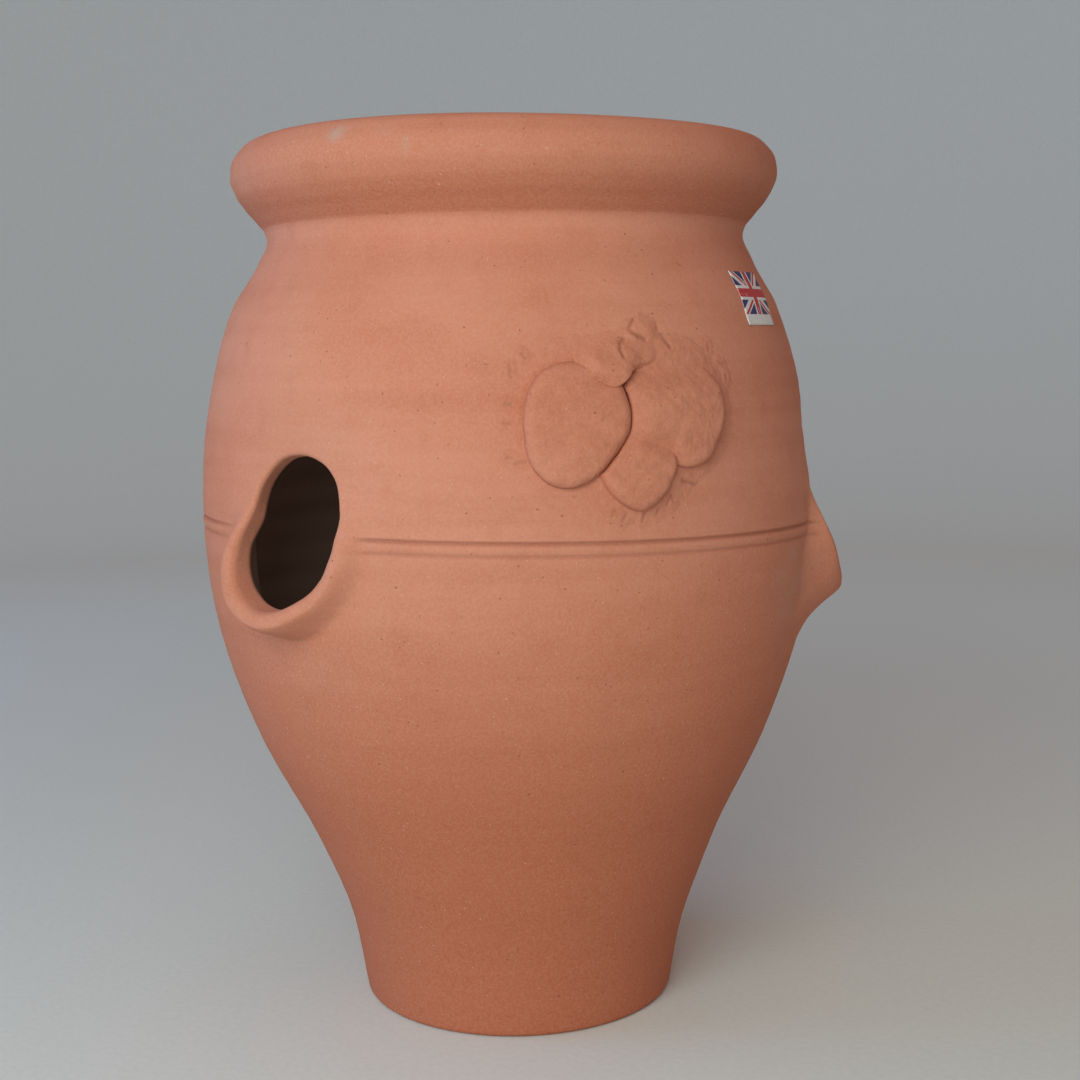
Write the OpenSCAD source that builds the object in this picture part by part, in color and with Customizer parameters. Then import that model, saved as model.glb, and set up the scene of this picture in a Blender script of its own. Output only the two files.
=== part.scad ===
// Strawberry jar: a thrown terracotta planter with three planting pockets in
// its belly and a sprig of strawberries in low relief.
// Millimetres, +Z up. The origin is the centre of the foot, on the ground.
// An azimuth is measured about the jar's axis from -Y, the front, towards +X.

/* [Jar] */
// Height of the jar, from the ground to the top of the rim
jar_h = 400; // [380:1:440]
// Thickness of the thrown wall, square to its surface
wall_t = 10; // [7:0.5:12]
// Thickness of the floor
floor_t = 12; // [8:0.5:18]
// Radius of the drainage hole in the floor
drain_r = 12; // [6:0.5:20]
// Radius of the rounded edge where the foot meets the ground
foot_edge_r = 3; // [1:0.5:6]
// Radius of the soft corner inside, between the floor and the wall
floor_fillet_r = 14; // [6:1:20]

/* [Outline radii] */
// Radius of the foot at the ground
foot_r = 73.2; // [68:0.2:78]
// Radius of the waist above the foot
waist_r = 82.2; // [78:0.2:86]
// Radius at the calf, where the lower wall turns outwards
calf_r = 96.2; // [92:0.2:100]
// Radius of the belly, the widest place of the wall
belly_r = 142.3; // [130:0.1:155]
// How far the flank lies inside the belly
flank_in = 21.7; // [17:0.1:26]
// How far the hip, below the pockets, lies inside the belly
hip_in = 5.4; // [3.5:0.1:8]
// How far the shoulder lies inside the belly
shoulder_in = 5.9; // [3.5:0.1:8]
// How far the collar, where the shoulder turns in to the neck, lies inside the belly
collar_in = 17.7; // [15:0.1:21]
// How far the neck, the narrowest place under the rim, lies inside the belly
neck_in = 32.9; // [29:0.1:36]

/* [Outline heights] */
// Height of the waist
waist_z = 45; // [38:1:52]
// Height of the calf
calf_z = 80; // [74:1:88]
// Height of the flank
flank_z = 130; // [122:1:138]
// Height of the hip
hip_z = 180; // [172:1:188]
// Height of the belly
belly_z = 226; // [218:1:234]
// Height from the shoulder up to the seat of the rim
shoulder_drop = 76; // [70:1:82]
// Height from the collar up to the seat of the rim
collar_drop = 36; // [31:1:42]

/* [Rim] */
// How far the rolled rim stands out from its seat on the neck
rim_out = 14; // [9:0.5:20]
// Height of the roll above its fullest line
rim_rise = 15; // [10:0.5:16]
// Height of the roll below its fullest line, down to where it leaves the neck
rim_drop = 24; // [18:0.5:28]
// Height from the narrowest place of the neck up to the rolled rim
neck_rise = 4; // [2:0.5:8]

/* [Belly band] */
// Height of the middle of the band above the belly
band_rise = 1.4; // [-4:0.2:6]
// Distance between the two cut lines
band_w = 5.2; // [4:0.1:8]
// Half the width of a cut line
line_w = 1; // [0.6:0.1:1.6]
// Depth of a cut line
line_d = 0.9; // [0.3:0.1:1.8]

/* [Pockets] */
// Azimuth of the right-hand pocket; the others follow at a third of a turn
pocket_az = 82; // [70:1:90]
// Height of the middle of a pocket's mouth above the belly
pocket_rise = 6; // [2:1:10]
// Width of a pocket's mouth
mouth_w = 54; // [44:1:58]
// Height of a pocket's mouth
mouth_h = 65; // [54:1:69]
// How far the lip stands out from the wall at its lowest place
lip_reach = 15.5; // [6:0.5:20]
// Width of clay that is worked beside the mouth, up to the untouched wall
lip_margin = 13; // [11:0.5:16]
// Depth of the worked clay below the mouth, where the lip swells out
lip_apron = 28; // [24:0.5:32]

/* [Sprig] */
// Azimuth of the middle of the strawberry sprig
sprig_az = 21; // [14:0.5:24]
// Height from the middle of the sprig up to the seat of the rim
sprig_drop = 84; // [80:1:89]
// Thickness of the leaves
leaf_t = 1.4; // [0.8:0.1:2.5]
// Size of the teeth along the edge of the leaves
leaf_tooth = 1.1; // [0:0.1:2]
// Width of each upper leaf
leaf_w = 62; // [56:0.5:66]
// Height of each upper leaf
leaf_h = 60; // [54:0.5:64]
// Distance between the middles of the two upper leaves
leaf_apart = 43; // [38:0.5:46]
// Height of the middles of the upper leaves above the middle of the sprig
leaf_lift = 5.5; // [3:0.5:8]
// Width of the lower leaf
leaf_low_w = 54; // [46:0.5:58]
// Height of the lower leaf
leaf_low_h = 48; // [42:0.5:52]
// Width of the tongue of leaf under the stalk
tongue_w = 14; // [10:0.5:18]
// Height of that tongue
tongue_h = 24; // [22:0.5:26]
// How far a strawberry stands out from the leaves
berry_rise = 4.2; // [2:0.1:6]
// How far the sepals stand out from the leaves
sepal_rise = 2.6; // [1.2:0.1:4]
// Distance between the middles of the two upper strawberries
berry_apart = 48.5; // [44:0.5:52]
// How much higher the right strawberry lies than the left one
berry_step = 3.5; // [0:0.5:6]
// How far the lower strawberry's middle lies below the left one's
berry_low = 14; // [11:0.5:18]
// Width of the left strawberry
berry_left_w = 44.5; // [38:0.5:46]
// Height of the left strawberry
berry_left_h = 49.5; // [44:0.5:54]
// Width of the right strawberry
berry_right_w = 41.5; // [36:0.5:44]
// Height of the right strawberry
berry_right_h = 46; // [42:0.5:50]
// Width of the lower strawberry
berry_lower_w = 35.5; // [30:0.5:40]
// Height of the lower strawberry
berry_lower_h = 42; // [36:0.5:46]
// Width of the sepals over the left strawberry
sepal_w = 26; // [22:0.5:28]
// Height of the sepals over the left strawberry
sepal_h = 19; // [16:0.5:21]
// Width of the stalk
stalk_w = 4.5; // [3:0.1:6]
// Length of the stalk
stalk_l = 7.5; // [5:0.5:8]

/* [Label] */
// Azimuth of the middle of the paper label
label_az = 59.5; // [54:0.5:66]
// Height from the lower edge of the label up to the seat of the rim
label_drop = 47; // [42:1:54]
// Width of the label
label_w = 27.5; // [20:0.5:34]
// Height of the label, measured upright
label_h = 23; // [16:0.5:26]
// Thickness of the paper
label_t = 0.4; // [0.2:0.05:0.8]

/* [Hidden] */

$fn = 128;
terracotta = [0.78, 0.47, 0.37];
terracotta_pale = [0.82, 0.52, 0.42];
terracotta_deep = [0.70, 0.41, 0.31];
paper_white = [0.92, 0.92, 0.90];

// Clearance left between pieces that are luted together
seam = 0.1;
tiny = 0.0001;

// The roll swells out of the neck below its fullest line and rounds over above it
rim_z = jar_h - rim_rise;
seat_z = rim_z - rim_drop;
neck_z = seat_z - neck_rise;
neck_r = belly_r - neck_in;
seat_lean = 1.6;
seat_r = neck_r + seat_lean;
rim_in_r = seat_r - wall_t;
rim_flare = 1.5;

// The band and the pockets follow the belly; the sprig and the label follow the seat of the rim
band_z = belly_z + band_rise;
pocket_z = belly_z + pocket_rise;
sprig_z = seat_z - sprig_drop;
label_z = seat_z - label_drop;

// The wall's outline passes through these [height, radius] stations
stations = [[0, foot_r], [waist_z, waist_r], [calf_z, calf_r], [flank_z, belly_r - flank_in],
            [hip_z, belly_r - hip_in], [belly_z, belly_r], [seat_z - shoulder_drop, belly_r - shoulder_in],
            [seat_z - collar_drop, belly_r - collar_in], [neck_z, neck_r], [seat_z, seat_r]];
last = len(stations) - 1;

function rise_at(i) = (stations[i + 1][1] - stations[i][1]) / (stations[i + 1][0] - stations[i][0]);
function run_at(i) = stations[i + 1][0] - stations[i][0];

// Slope of the outline at each station, from the parabola through its neighbours
slopes = [for (i = [0:last])
    i == 0 ? rise_at(0) :
    i == last ? rise_at(last - 1) :
    (rise_at(i - 1) * run_at(i) + rise_at(i) * run_at(i - 1)) / (run_at(i - 1) + run_at(i))];

function span_at(z) = max([for (i = [0:last - 1]) z >= stations[i][0] ? i : 0]);

// Radius of the outside of the wall at a height, a cubic between two stations
function wall_r(z) =
    let (i = span_at(z), run = run_at(i), t = (z - stations[i][0]) / run)
    (2 * t ^ 3 - 3 * t ^ 2 + 1) * stations[i][1] + (t ^ 3 - 2 * t ^ 2 + t) * run * slopes[i]
    + (3 * t ^ 2 - 2 * t ^ 3) * stations[i + 1][1] + (t ^ 3 - t ^ 2) * run * slopes[i + 1];

slope_step = 0.5;
function wall_slope(z) = (wall_r(z + slope_step) - wall_r(z - slope_step)) / (2 * slope_step);

// Radius of the inside, so that the wall has its thickness square to its surface
function inner_r(z) = wall_r(z) - wall_t * sqrt(1 + wall_slope(z) ^ 2);

// Evenly spaced values from a to b
function steps(a, b, n) = [for (i = [0:n]) a + (b - a) * i / n];

ring_step = 6;
function wall_heights(a, b) = steps(a, b, max(2, ceil((b - a) / ring_step)));

// A cut line is a shallow groove about the height z
function cut_line(z) =
    [for (u = steps(-1, 1, 4)) [wall_r(z + u * line_w) - line_d * (1 - u ^ 2), z + u * line_w]];
line_low_z = band_z - band_w / 2;
line_high_z = band_z + band_w / 2;

// ---- Pocket geometry, drawn with the pocket facing -Y ----

pocket_turns = [pocket_az - 120, pocket_az, pocket_az + 120];
crown_share = 0.6;
worked_r = mouth_w / 2 + lip_margin;
worked_top = pocket_z + mouth_h / 2 + lip_margin * crown_share;
worked_low = pocket_z - mouth_h / 2 - lip_apron;
worked_up_z = worked_top - worked_r;
worked_down_z = worked_low + worked_r;
pocket_sides = 44;
lip_start = 0.4;
lip_power = 1.3;
lip_fall = steps(1, 0, 6);
roll_steps = 6;
lip_roll = [for (i = [1:roll_steps - 1]) i * 180 / roll_steps];

// Distance from the middle of the mouth to the edge of the worked clay, in direction a
function worked_reach(a) =
    let (side = (worked_r - seam) / max(abs(cos(a)), tiny), z = pocket_z + side * sin(a))
    z <= worked_up_z && z >= worked_down_z ? side :
    let (c = (sin(a) > 0 ? worked_up_z : worked_down_z) - pocket_z)
    c * sin(a) + sqrt((worked_r - seam) ^ 2 - (c * cos(a)) ^ 2);

function mouth_reach(a) = 1 / sqrt((2 * cos(a) / mouth_w) ^ 2 + (2 * sin(a) / mouth_h) ^ 2);

// The lip stands out furthest below the mouth, and dies out beside its upper half
function lip_out(a) =
    lip_reach * sin(90 * max(0, lip_start - sin(a)) / (lip_start + 1)) ^ lip_power;

// Place on the wall: x across the pocket, height z, and h out from the wall's surface
function on_pocket(x, z, h) = let (r = wall_r(z) + h) [x, -sqrt(r ^ 2 - x ^ 2), z];

// Section of the worked clay in direction a: a strip of wall that swells out to a rounded lip.
// Its middle line is at mid(u), and lean(u) is how far that line leans out, in degrees.
function lip_section(a) =
    let (near = mouth_reach(a), far = worked_reach(a), half = wall_t / 2, run = far - near - half,
         out = lip_out(a),
         mid = function (u) [near + half + u * run, out * (1 - u) ^ 2 - half],
         lean = function (u) atan2(2 * out * (1 - u), run),
         skin = function (u, turn) mid(u) + half * [sin(lean(u) - turn), cos(lean(u) - turn)])
    concat(
        [for (u = lip_fall) skin(u, 0)],
        [for (turn = lip_roll) skin(0, turn)],
        [for (i = [len(lip_fall) - 1:-1:0]) skin(lip_fall[i], 180)]);

// A closed band of skin round rings of equal length, with each ring itself closed
function ring_faces(rings, count) =
    [for (i = [0:rings - 1], j = [0:count - 1])
        let (a = i * count + j, b = i * count + (j + 1) % count,
             c = ((i + 1) % rings) * count + (j + 1) % count, d = ((i + 1) % rings) * count + j)
        each [[a, b, c], [a, c, d]]];

// ---- Sprig geometry, on the unrolled wall: s across, z up, h out ----

unroll_r = belly_r;
function on_wall(az, s, z, h) =
    let (a = az + s / unroll_r * 180 / PI, r = wall_r(z) + h) [r * sin(a), -r * cos(a), z];

// Margin of leaf round a strawberry
leaf_edge = 2.2;

// An oval is [s, z, width, height, tilt, taper], with s and z from the middle of the sprig
berry_taper = 0.14;
berry_tilt = 8;
berry_left = [-berry_apart / 2, 0, berry_left_w, berry_left_h, -berry_tilt, berry_taper];
berry_right = [berry_apart / 2, berry_step, berry_right_w, berry_right_h, berry_tilt, berry_taper];
berry_lower = [0, -berry_low, berry_lower_w, berry_lower_h, 0, berry_taper];
berries = [berry_left, berry_right, berry_lower];

// The sepals are two ovals that meet beside the stalk: a large one on the left, and a smaller and
// higher one on the right. Each has its middle across and below their top, its width and its height,
// as shares of sepal_w and sepal_h, and then its tilt.
sepal_top_share = 1.75;
sepal_top = sepal_h * sepal_top_share;
sepal_shares = [[-0.43, 0.5, 1, 1, 0], [0.46, 0.18, 0.92, 0.74, berry_tilt]];
sepals = [for (k = sepal_shares)
    [sepal_w * k[0], sepal_top - sepal_h * k[1], sepal_w * k[2], sepal_h * k[3], k[4], 0]];
leaf_lobes = [[-leaf_apart / 2, leaf_lift, leaf_w, leaf_h, 0, 0],
              [leaf_apart / 2, leaf_lift, leaf_w, leaf_h, 0, 0],
              [0, -berry_low - leaf_edge, leaf_low_w, leaf_low_h, 0, 0],
              [tongue_w / 3, sepal_top, tongue_w, tongue_h, 0, 0]];

// Distance from the middle of an oval to its edge in direction a
function oval_reach(b, a) =
    let (t = a - b[4], plain = 1 / sqrt((2 * cos(t) / b[2]) ^ 2 + (2 * sin(t) / b[3]) ^ 2))
    plain * (1 + b[5] * sin(t) * cos(t) ^ 2);

// Is the point p inside one of the ovals, with a margin round each?
function in_ovals(ovals, p, margin) =
    len([for (b = ovals) let (d = p - [b[0], b[1]], edge = oval_reach(b, atan2(d[1], d[0])))
        if (norm(d) < edge + margin) 1]) > 0;

// Distance, scanned outwards from the point c in direction a, to the last place inside the ovals
scan_tries = 100;
function spread_reach(ovals, c, a, margin, scan) =
    scan * max([for (k = steps(0, 1, scan_tries))
        in_ovals(ovals, c + k * scan * [cos(a), sin(a)], margin) ? k : 0]);

// Distance from the middle of an oval, in direction a, that stays clear of the ovals lying over it
oval_gap = 0.5;
clear_tries = 60;
function clear_reach(b, a, over) =
    let (r = oval_reach(b, a))
    r * max([for (k = steps(0, 1, clear_tries))
        in_ovals(over, [b[0], b[1]] + k * r * [cos(a), sin(a)], oval_gap) ? 0 : k]);

// A closed ring on the wall at a share of each reach from the point c, and h out
function reach_ring(c, reach, share, h) =
    let (n = len(reach))
    [for (i = [0:n - 1]) let (a = i * 360 / n, r = reach[i] * share)
        on_wall(sprig_az, c[0] + r * cos(a), sprig_z + c[1] + r * sin(a), h)];

// Skin of a stack of rings with a point at each end
function cap_faces(rings, count) =
    let (top = rings * count, base = top + 1)
    concat(
        [for (i = [0:rings - 2], j = [0:count - 1])
            let (a = i * count + j, b = i * count + (j + 1) % count, c = b + count, d = a + count)
            each [[a, c, b], [a, d, c]]],
        [for (j = [0:count - 1]) [top, j, (j + 1) % count]],
        [for (j = [0:count - 1]) let (k = (rings - 1) * count) [base, k + (j + 1) % count, k + j]]);

// ---- Pieces ----

module lower_wall() {
    edge_r = wall_r(foot_edge_r) - foot_edge_r;
    arc = [for (a = steps(0, 90, 4)) [edge_r + foot_edge_r * sin(a), foot_edge_r * (1 - cos(a))]];
    side = [for (z = wall_heights(foot_edge_r, line_low_z - line_w)) [wall_r(z), z]];
    corner_z = floor_t + floor_fillet_r;
    inside = [for (z = wall_heights(corner_z, band_z)) [inner_r(z), z]];
    corner = [for (a = steps(0, 90, 6))
        [inner_r(corner_z) - floor_fillet_r * (1 - cos(a)), corner_z - floor_fillet_r * sin(a)]];
    color(terracotta_deep) difference() {
        rotate_extrude() polygon(concat(
            [[drain_r, 0]], arc, [for (i = [1:len(side) - 2]) side[i]], cut_line(line_low_z),
            [[wall_r(band_z), band_z]],
            [for (i = [len(inside) - 1:-1:1]) inside[i]], corner, [[drain_r, floor_t]]));
        worked_holes();
    }
}

module upper_wall() {
    side = [for (z = wall_heights(line_high_z + line_w, seat_z)) [wall_r(z), z]];
    inside = [for (z = wall_heights(band_z, seat_z)) if (z < seat_z) [inner_r(z), z]];
    color(terracotta) difference() {
        rotate_extrude() polygon(concat(
            [[wall_r(band_z), band_z]], cut_line(line_high_z), [for (i = [1:len(side) - 1]) side[i]],
            [[rim_in_r, seat_z]], [for (i = [len(inside) - 1:-1:0]) inside[i]]));
        worked_holes();
    }
}

// The wall is cut away where the clay of each pocket is worked
module worked_holes() {
    start = belly_r / 2;
    depth = belly_r;
    for (turn = pocket_turns) rotate([0, 0, turn]) translate([0, -start, 0]) {
        for (z = [worked_up_z, worked_down_z])
            translate([0, 0, z]) rotate([90, 0, 0]) cylinder(r = worked_r, h = depth);
        translate([-worked_r, -depth, worked_down_z])
            cube([2 * worked_r, depth, worked_up_z - worked_down_z]);
    }
}

module rolled_rim() {
    under = [for (t = steps(0, 1, 10))
        [seat_r + rim_out * (3 * t ^ 2 - 2 * t ^ 3 + rim_flare * (t ^ 3 - 2 * t ^ 2 + t)),
         seat_z + rim_drop * t]];
    over = [for (a = steps(0, 90, 9)) [seat_r + rim_out * cos(a), rim_z + rim_rise * sin(a)]];
    inner = [for (a = steps(90, 180, 8)) [seat_r + wall_t * cos(a), rim_z + rim_rise * sin(a)]];
    color(terracotta_pale) rotate_extrude() polygon(concat(
        [for (i = [0:len(under) - 2]) under[i]], over, [for (i = [1:len(inner) - 1]) inner[i]],
        [[rim_in_r, seat_z]]));
}

module pocket(turn) {
    angles = [for (i = [0:pocket_sides - 1]) i * 360 / pocket_sides];
    sections = [for (a = angles) lip_section(a)];
    points = [for (i = [0:pocket_sides - 1], q = sections[i])
        on_pocket(q[0] * cos(angles[i]), pocket_z + q[0] * sin(angles[i]), q[1])];
    color(terracotta_pale) rotate([0, 0, turn])
        polyhedron(points, ring_faces(pocket_sides, len(sections[0])), convexity = 6);
}

module pocket_left() { pocket(pocket_turns[0]); }
module pocket_right() { pocket(pocket_turns[1]); }
module pocket_back() { pocket(pocket_turns[2]); }

// A pad lies on the wall at height base, and rises to dome(share) at each share of its reach
module pad(c, reach, base, shares, dome, floor_shares) {
    tops = [for (k = shares) reach_ring(c, reach, k, base + dome(k))];
    lows = [for (k = floor_shares) reach_ring(c, reach, k, base)];
    middle = [for (h = [dome(0), 0]) on_wall(sprig_az, c[0], sprig_z + c[1], base + h)];
    polyhedron(concat([for (r = concat(tops, lows)) each r], middle),
               cap_faces(len(shares) + len(floor_shares), len(reach)), convexity = 8);
}

// The leaves spread past the strawberries, with a toothed edge and a tongue under the stalk
leaf_sides = 144;
leaf_scan = leaf_w;
leaf_bevel = 0.97;
leaf_shares = concat(steps(1 / 4, 3 / 4, 2), [leaf_bevel]);
leaf_floor = steps(1, 1 / 4, 3);
tooth_count = 36;
module sprig_leaves() {
    reach = [for (i = [0:leaf_sides - 1]) let (a = i * 360 / leaf_sides)
        max(spread_reach(leaf_lobes, [0, 0], a, 0, leaf_scan),
            spread_reach(berries, [0, 0], a, leaf_edge, leaf_scan))
        + leaf_tooth * (abs(sin(a * tooth_count / 2)) - 1 / 2)];
    color(terracotta_deep)
        pad([0, 0], reach, seam, leaf_shares, function (k) leaf_t, leaf_floor);
}

// A strawberry is a dome on the leaves, cut back where another or a sepal lies over it
on_leaf = leaf_t + 2 * seam;
berry_sides = 40;
dome_shares = [0.3, 0.55, 0.75, 0.88, 0.96, 1];
dome_floor = steps(1, 1 / 3, 2);
dome_power = 2.4;
dome_edge = 0.06;
module berry(b, over) {
    reach = [for (i = [0:berry_sides - 1]) clear_reach(b, i * 360 / berry_sides, over)];
    color(terracotta_pale)
        pad(b, reach, on_leaf, dome_shares, function (k) berry_rise * sqrt(1 + dome_edge - k ^ dome_power),
            dome_floor);
}

module berry_left() { berry(berry_left, sepals); }
module berry_right() { berry(berry_right, concat([berry_left], sepals)); }
module berry_lower() { berry(berry_lower, [berry_left, berry_right]); }

// The sepals lie over the tops of the two upper strawberries
sepal_middle_share = 0.35;
sepal_middle = [0, sepal_top - sepal_h * sepal_middle_share];
sepal_sides = 48;
sepal_scan = 1.2 * sepal_w;
module sprig_sepals() {
    reach = [for (i = [0:sepal_sides - 1])
        spread_reach(sepals, sepal_middle, i * 360 / sepal_sides, 0, sepal_scan)];
    color(terracotta_deep)
        pad(sepal_middle, reach, on_leaf, dome_shares,
            function (k) sepal_rise * sqrt(1 + dome_edge - k ^ dome_power), dome_floor);
}

// The stalk is a half-round ridge on the leaves that springs from the sepals and leans to the right
stalk_foot_share = 0.24;
stalk_foot = [stalk_w / 2, sepal_top + sepal_h * stalk_foot_share];
stalk_lean = 0.4 * stalk_l;
stalk_taper = 0.75;
module sprig_stalk() {
    rings = [for (k = steps(0, 1, 6))
        let (w = stalk_w / 2 * (stalk_taper + (1 - stalk_taper) * k), s = stalk_foot[0] + stalk_lean * k)
        [for (a = steps(0, 180, 6))
            on_wall(sprig_az, s + w * cos(a), sprig_z + stalk_foot[1] + k * stalk_l, on_leaf + w * sin(a))]];
    count = len(rings[0]);
    points = [for (r = rings) each r];
    ends = [[for (j = [0:count - 1]) j], [for (j = [count - 1:-1:0]) (len(rings) - 1) * count + j]];
    sides = [for (i = [0:len(rings) - 2], j = [0:count - 1])
        let (a = i * count + j, b = i * count + (j + 1) % count, c = b + count, d = a + count)
        each [[a, c, b], [a, d, c]]];
    color(terracotta_deep) polyhedron(points, concat(ends, sides), convexity = 4);
}

// The label is a thin sheet that follows the shoulder
module paper_label() {
    across = steps(-label_w / 2, label_w / 2, 6);
    up = steps(label_z, label_z + label_h, 5);
    n = len(across);
    m = len(up);
    skin = function (h) [for (z = up, s = across)
        let (a = label_az + s / wall_r(z) * 180 / PI, r = wall_r(z) + h) [r * sin(a), -r * cos(a), z]];
    front = skin(seam + label_t);
    back = skin(seam);
    edge = concat([for (i = [0:n - 2]) i], [for (j = [0:m - 2]) j * n + n - 1],
        [for (i = [n - 1:-1:1]) (m - 1) * n + i], [for (j = [m - 1:-1:1]) j * n]);
    off = n * m;
    cells = [for (j = [0:m - 2], i = [0:n - 2]) j * n + i];
    color(paper_white) polyhedron(concat(front, back), concat(
        [for (c = cells) each [[c, c + n + 1, c + 1], [c, c + n, c + n + 1]]],
        [for (c = cells) let (d = off + c) each [[d, d + 1, d + n + 1], [d, d + n + 1, d + n]]],
        [for (k = [0:len(edge) - 1]) let (a = edge[k], b = edge[(k + 1) % len(edge)])
            each [[a, b, off + b], [a, off + b, off + a]]]), convexity = 4);
}

lower_wall();
upper_wall();
rolled_rim();
pocket_left();
pocket_right();
pocket_back();
sprig_leaves();
berry_left();
berry_right();
berry_lower();
sprig_sepals();
sprig_stalk();
paper_label();
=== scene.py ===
"""Looks of the strawberry jar: a thrown terracotta planter with three lipped planting pockets
in its belly, a sprig of strawberries in low relief and a small paper label.

Sizes are millimetres and become metres when a mesh is made. An azimuth is measured in degrees
about the jar's axis from -Y, the front, towards +X. On the unrolled wall, s runs to the right
and z runs up.
"""

import math

import bpy
import numpy as np
from mathutils import Matrix, Vector


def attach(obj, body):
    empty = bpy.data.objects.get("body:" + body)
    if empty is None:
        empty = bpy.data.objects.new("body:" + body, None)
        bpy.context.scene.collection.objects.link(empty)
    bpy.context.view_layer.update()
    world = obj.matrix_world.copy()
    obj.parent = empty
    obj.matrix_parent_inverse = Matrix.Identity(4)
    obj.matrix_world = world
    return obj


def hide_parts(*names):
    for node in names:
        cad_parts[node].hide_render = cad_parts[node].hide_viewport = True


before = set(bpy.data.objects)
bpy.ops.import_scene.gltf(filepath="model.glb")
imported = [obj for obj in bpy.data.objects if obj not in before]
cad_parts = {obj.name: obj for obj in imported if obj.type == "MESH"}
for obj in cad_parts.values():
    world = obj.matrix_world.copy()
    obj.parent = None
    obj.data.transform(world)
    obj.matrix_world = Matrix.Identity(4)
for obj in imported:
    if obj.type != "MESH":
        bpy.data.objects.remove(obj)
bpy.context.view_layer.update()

MM = 0.001
BODY = "root"
scene = bpy.context.scene

# ---- Sizes of the jar, as in the CAD model ----

WALL_T = 10.0
FLOOR_T = 12.0
DRAIN_R = 12.0
FOOT_EDGE_R = 3.0
FLOOR_FILLET_R = 14.0
BELLY_R = 142.3
SEAT_Z = 361.0
SEAT_R = 111.0
NECK_Z = 357.0
NECK_R = 109.4
BAND_Z = 227.4
RIM_OUT = 14.0
RIM_RISE = 15.0
RIM_DROP = 24.0
RIM_FLARE = 1.5
# The wall's outline passes through these heights and radii
STATIONS = np.array([
    (0, 73.2), (45, 82.2), (80, 96.2), (130, 120.6), (180, 136.9), (226, BELLY_R),
    (285, 136.4), (325, 124.6), (NECK_Z, NECK_R), (SEAT_Z, SEAT_R),
])

# ---- Small maths ----


def smooth(t):
    """0 below 0, 1 above 1, and a smooth step between."""
    t = np.clip(t, 0, 1)
    return t * t * (3 - 2 * t)


def cubic(t, start, end, start_slope, end_slope):
    """From start at t = 0 to end at t = 1, with these slopes there."""
    back, on = t**3 - 2 * t**2 + t, t**3 - t**2
    rise = 3 * t**2 - 2 * t**3
    return (1 - rise) * start + back * start_slope + rise * end + on * end_slope


def turned(az, by):
    """az less by, in degrees from -180 to 180."""
    return (az - by + 180) % 360 - 180


def field(across, up, seed, count, turns, length):
    """A smooth random field of about -1 to 1, with across in radians round the jar and up in mm. It is
    a sum of count waves, each with at most turns periods round the jar and a length of about length."""
    rng = np.random.default_rng(seed)
    total = 0
    for _ in range(count):
        waves = rng.integers(-turns, turns + 1)
        rate = rng.uniform(0.6, 1.4) * 2 * math.pi / length
        total = total + np.cos(waves * across + rate * up + rng.uniform(0, 2 * math.pi))
    return total / math.sqrt(count)


# Random fields of the hand-made clay: seed, count, turns and length
RINGS = (1, 7, 1, 11)
THROWN = (2, 9, 4, 160)
FINGERS = (3, 5, 1, 17)
THROWN_INSIDE = (4, 6, 3, 120)
BLOOM_PATCHES = (5, 6, 4, 18)
RIM_RIDGES = (6, 5, 1, 8)
RIM_WAVES = (7, 6, 4, 150)
WRINKLES = (16, 6, 4, 9)

# ---- The thrown wall ----

heights, radii = STATIONS.T
runs = np.diff(heights)
rises = np.diff(radii) / runs
slopes = np.concatenate([
    rises[:1],
    (rises[:-1] * runs[1:] + rises[1:] * runs[:-1]) / (runs[:-1] + runs[1:]),
    rises[-1:],
])


def wall_r(z):
    """Radius of the outside of the wall, a cubic between two stations."""
    z = np.asarray(z, float)
    i = np.clip(np.searchsorted(heights, z, side="right") - 1, 0, len(runs) - 1)
    t = (z - heights[i]) / runs[i]
    return cubic(t, radii[i], radii[i + 1], runs[i] * slopes[i], runs[i] * slopes[i + 1])


def inner_r(z):
    """Radius of the inside, so that the wall has its thickness square to its surface."""
    slope = wall_r(z + 0.5) - wall_r(z - 0.5)
    return wall_r(z) - WALL_T * np.sqrt(1 + slope**2)


POCKET_TURNS = (-38, 82, 202)
POCKET_Z = 232.0
LIP_REACH = 15.5

# Two cut lines with a low ridge between them. They dip to the right, and fade out beside each pocket
# over one length on its left and another on its right
BAND_TILT = 3.2
BAND_TILT_AZ = 20
BAND_SPREAD = 28
LINE_OFFSETS = (-2.6, 2.6)
LINE_DEPTHS = (0.5, 0.85)
LINE_W = 1.0
RIDGE_H = 0.35
RIDGE_W = 1.8
LINE_END = 29
LINE_FADES = {-38: (40, 8), 82: (4, 8), 202: (20, 20)}


def band_lean(az):
    """How much higher than its middle height the band runs at an azimuth."""
    return -BAND_TILT * np.sin(np.radians(az - BAND_TILT_AZ))


def lines_left(az):
    """How much of the cut lines is left at an azimuth."""
    left = 1.0
    for turn, fades in LINE_FADES.items():
        away = np.radians(turned(az, turn)) * BELLY_R
        left = left * smooth((np.abs(away) - LINE_END) / np.where(away < 0, *fades))
    return left


def row_z(az, w):
    """Height of the grid row w at an azimuth. Rows near the band follow its tilt."""
    return w + band_lean(az) * np.exp(-(((w - BAND_Z) / BAND_SPREAD) ** 2))


RING_DEPTH = 0.05
UNEVEN = 0.2
FINGER_DEPTH = 0.3
# Soft swellings of the thrown wall: azimuth, height, half width in degrees, half height, rise
SWELLINGS = [
    (-80, 318, 60, 34, 1.9), (-70, 268, 40, 26, 0.9), (90, 348, 60, 10, 2.0), (-90, 348, 60, 10, 1.2),
    (0, 346, 60, 12, 1.5), (180, 346, 70, 12, 1.5), (85, 52, 60, 22, 1.2), (0, 55, 70, 24, 0.5),
]
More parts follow.
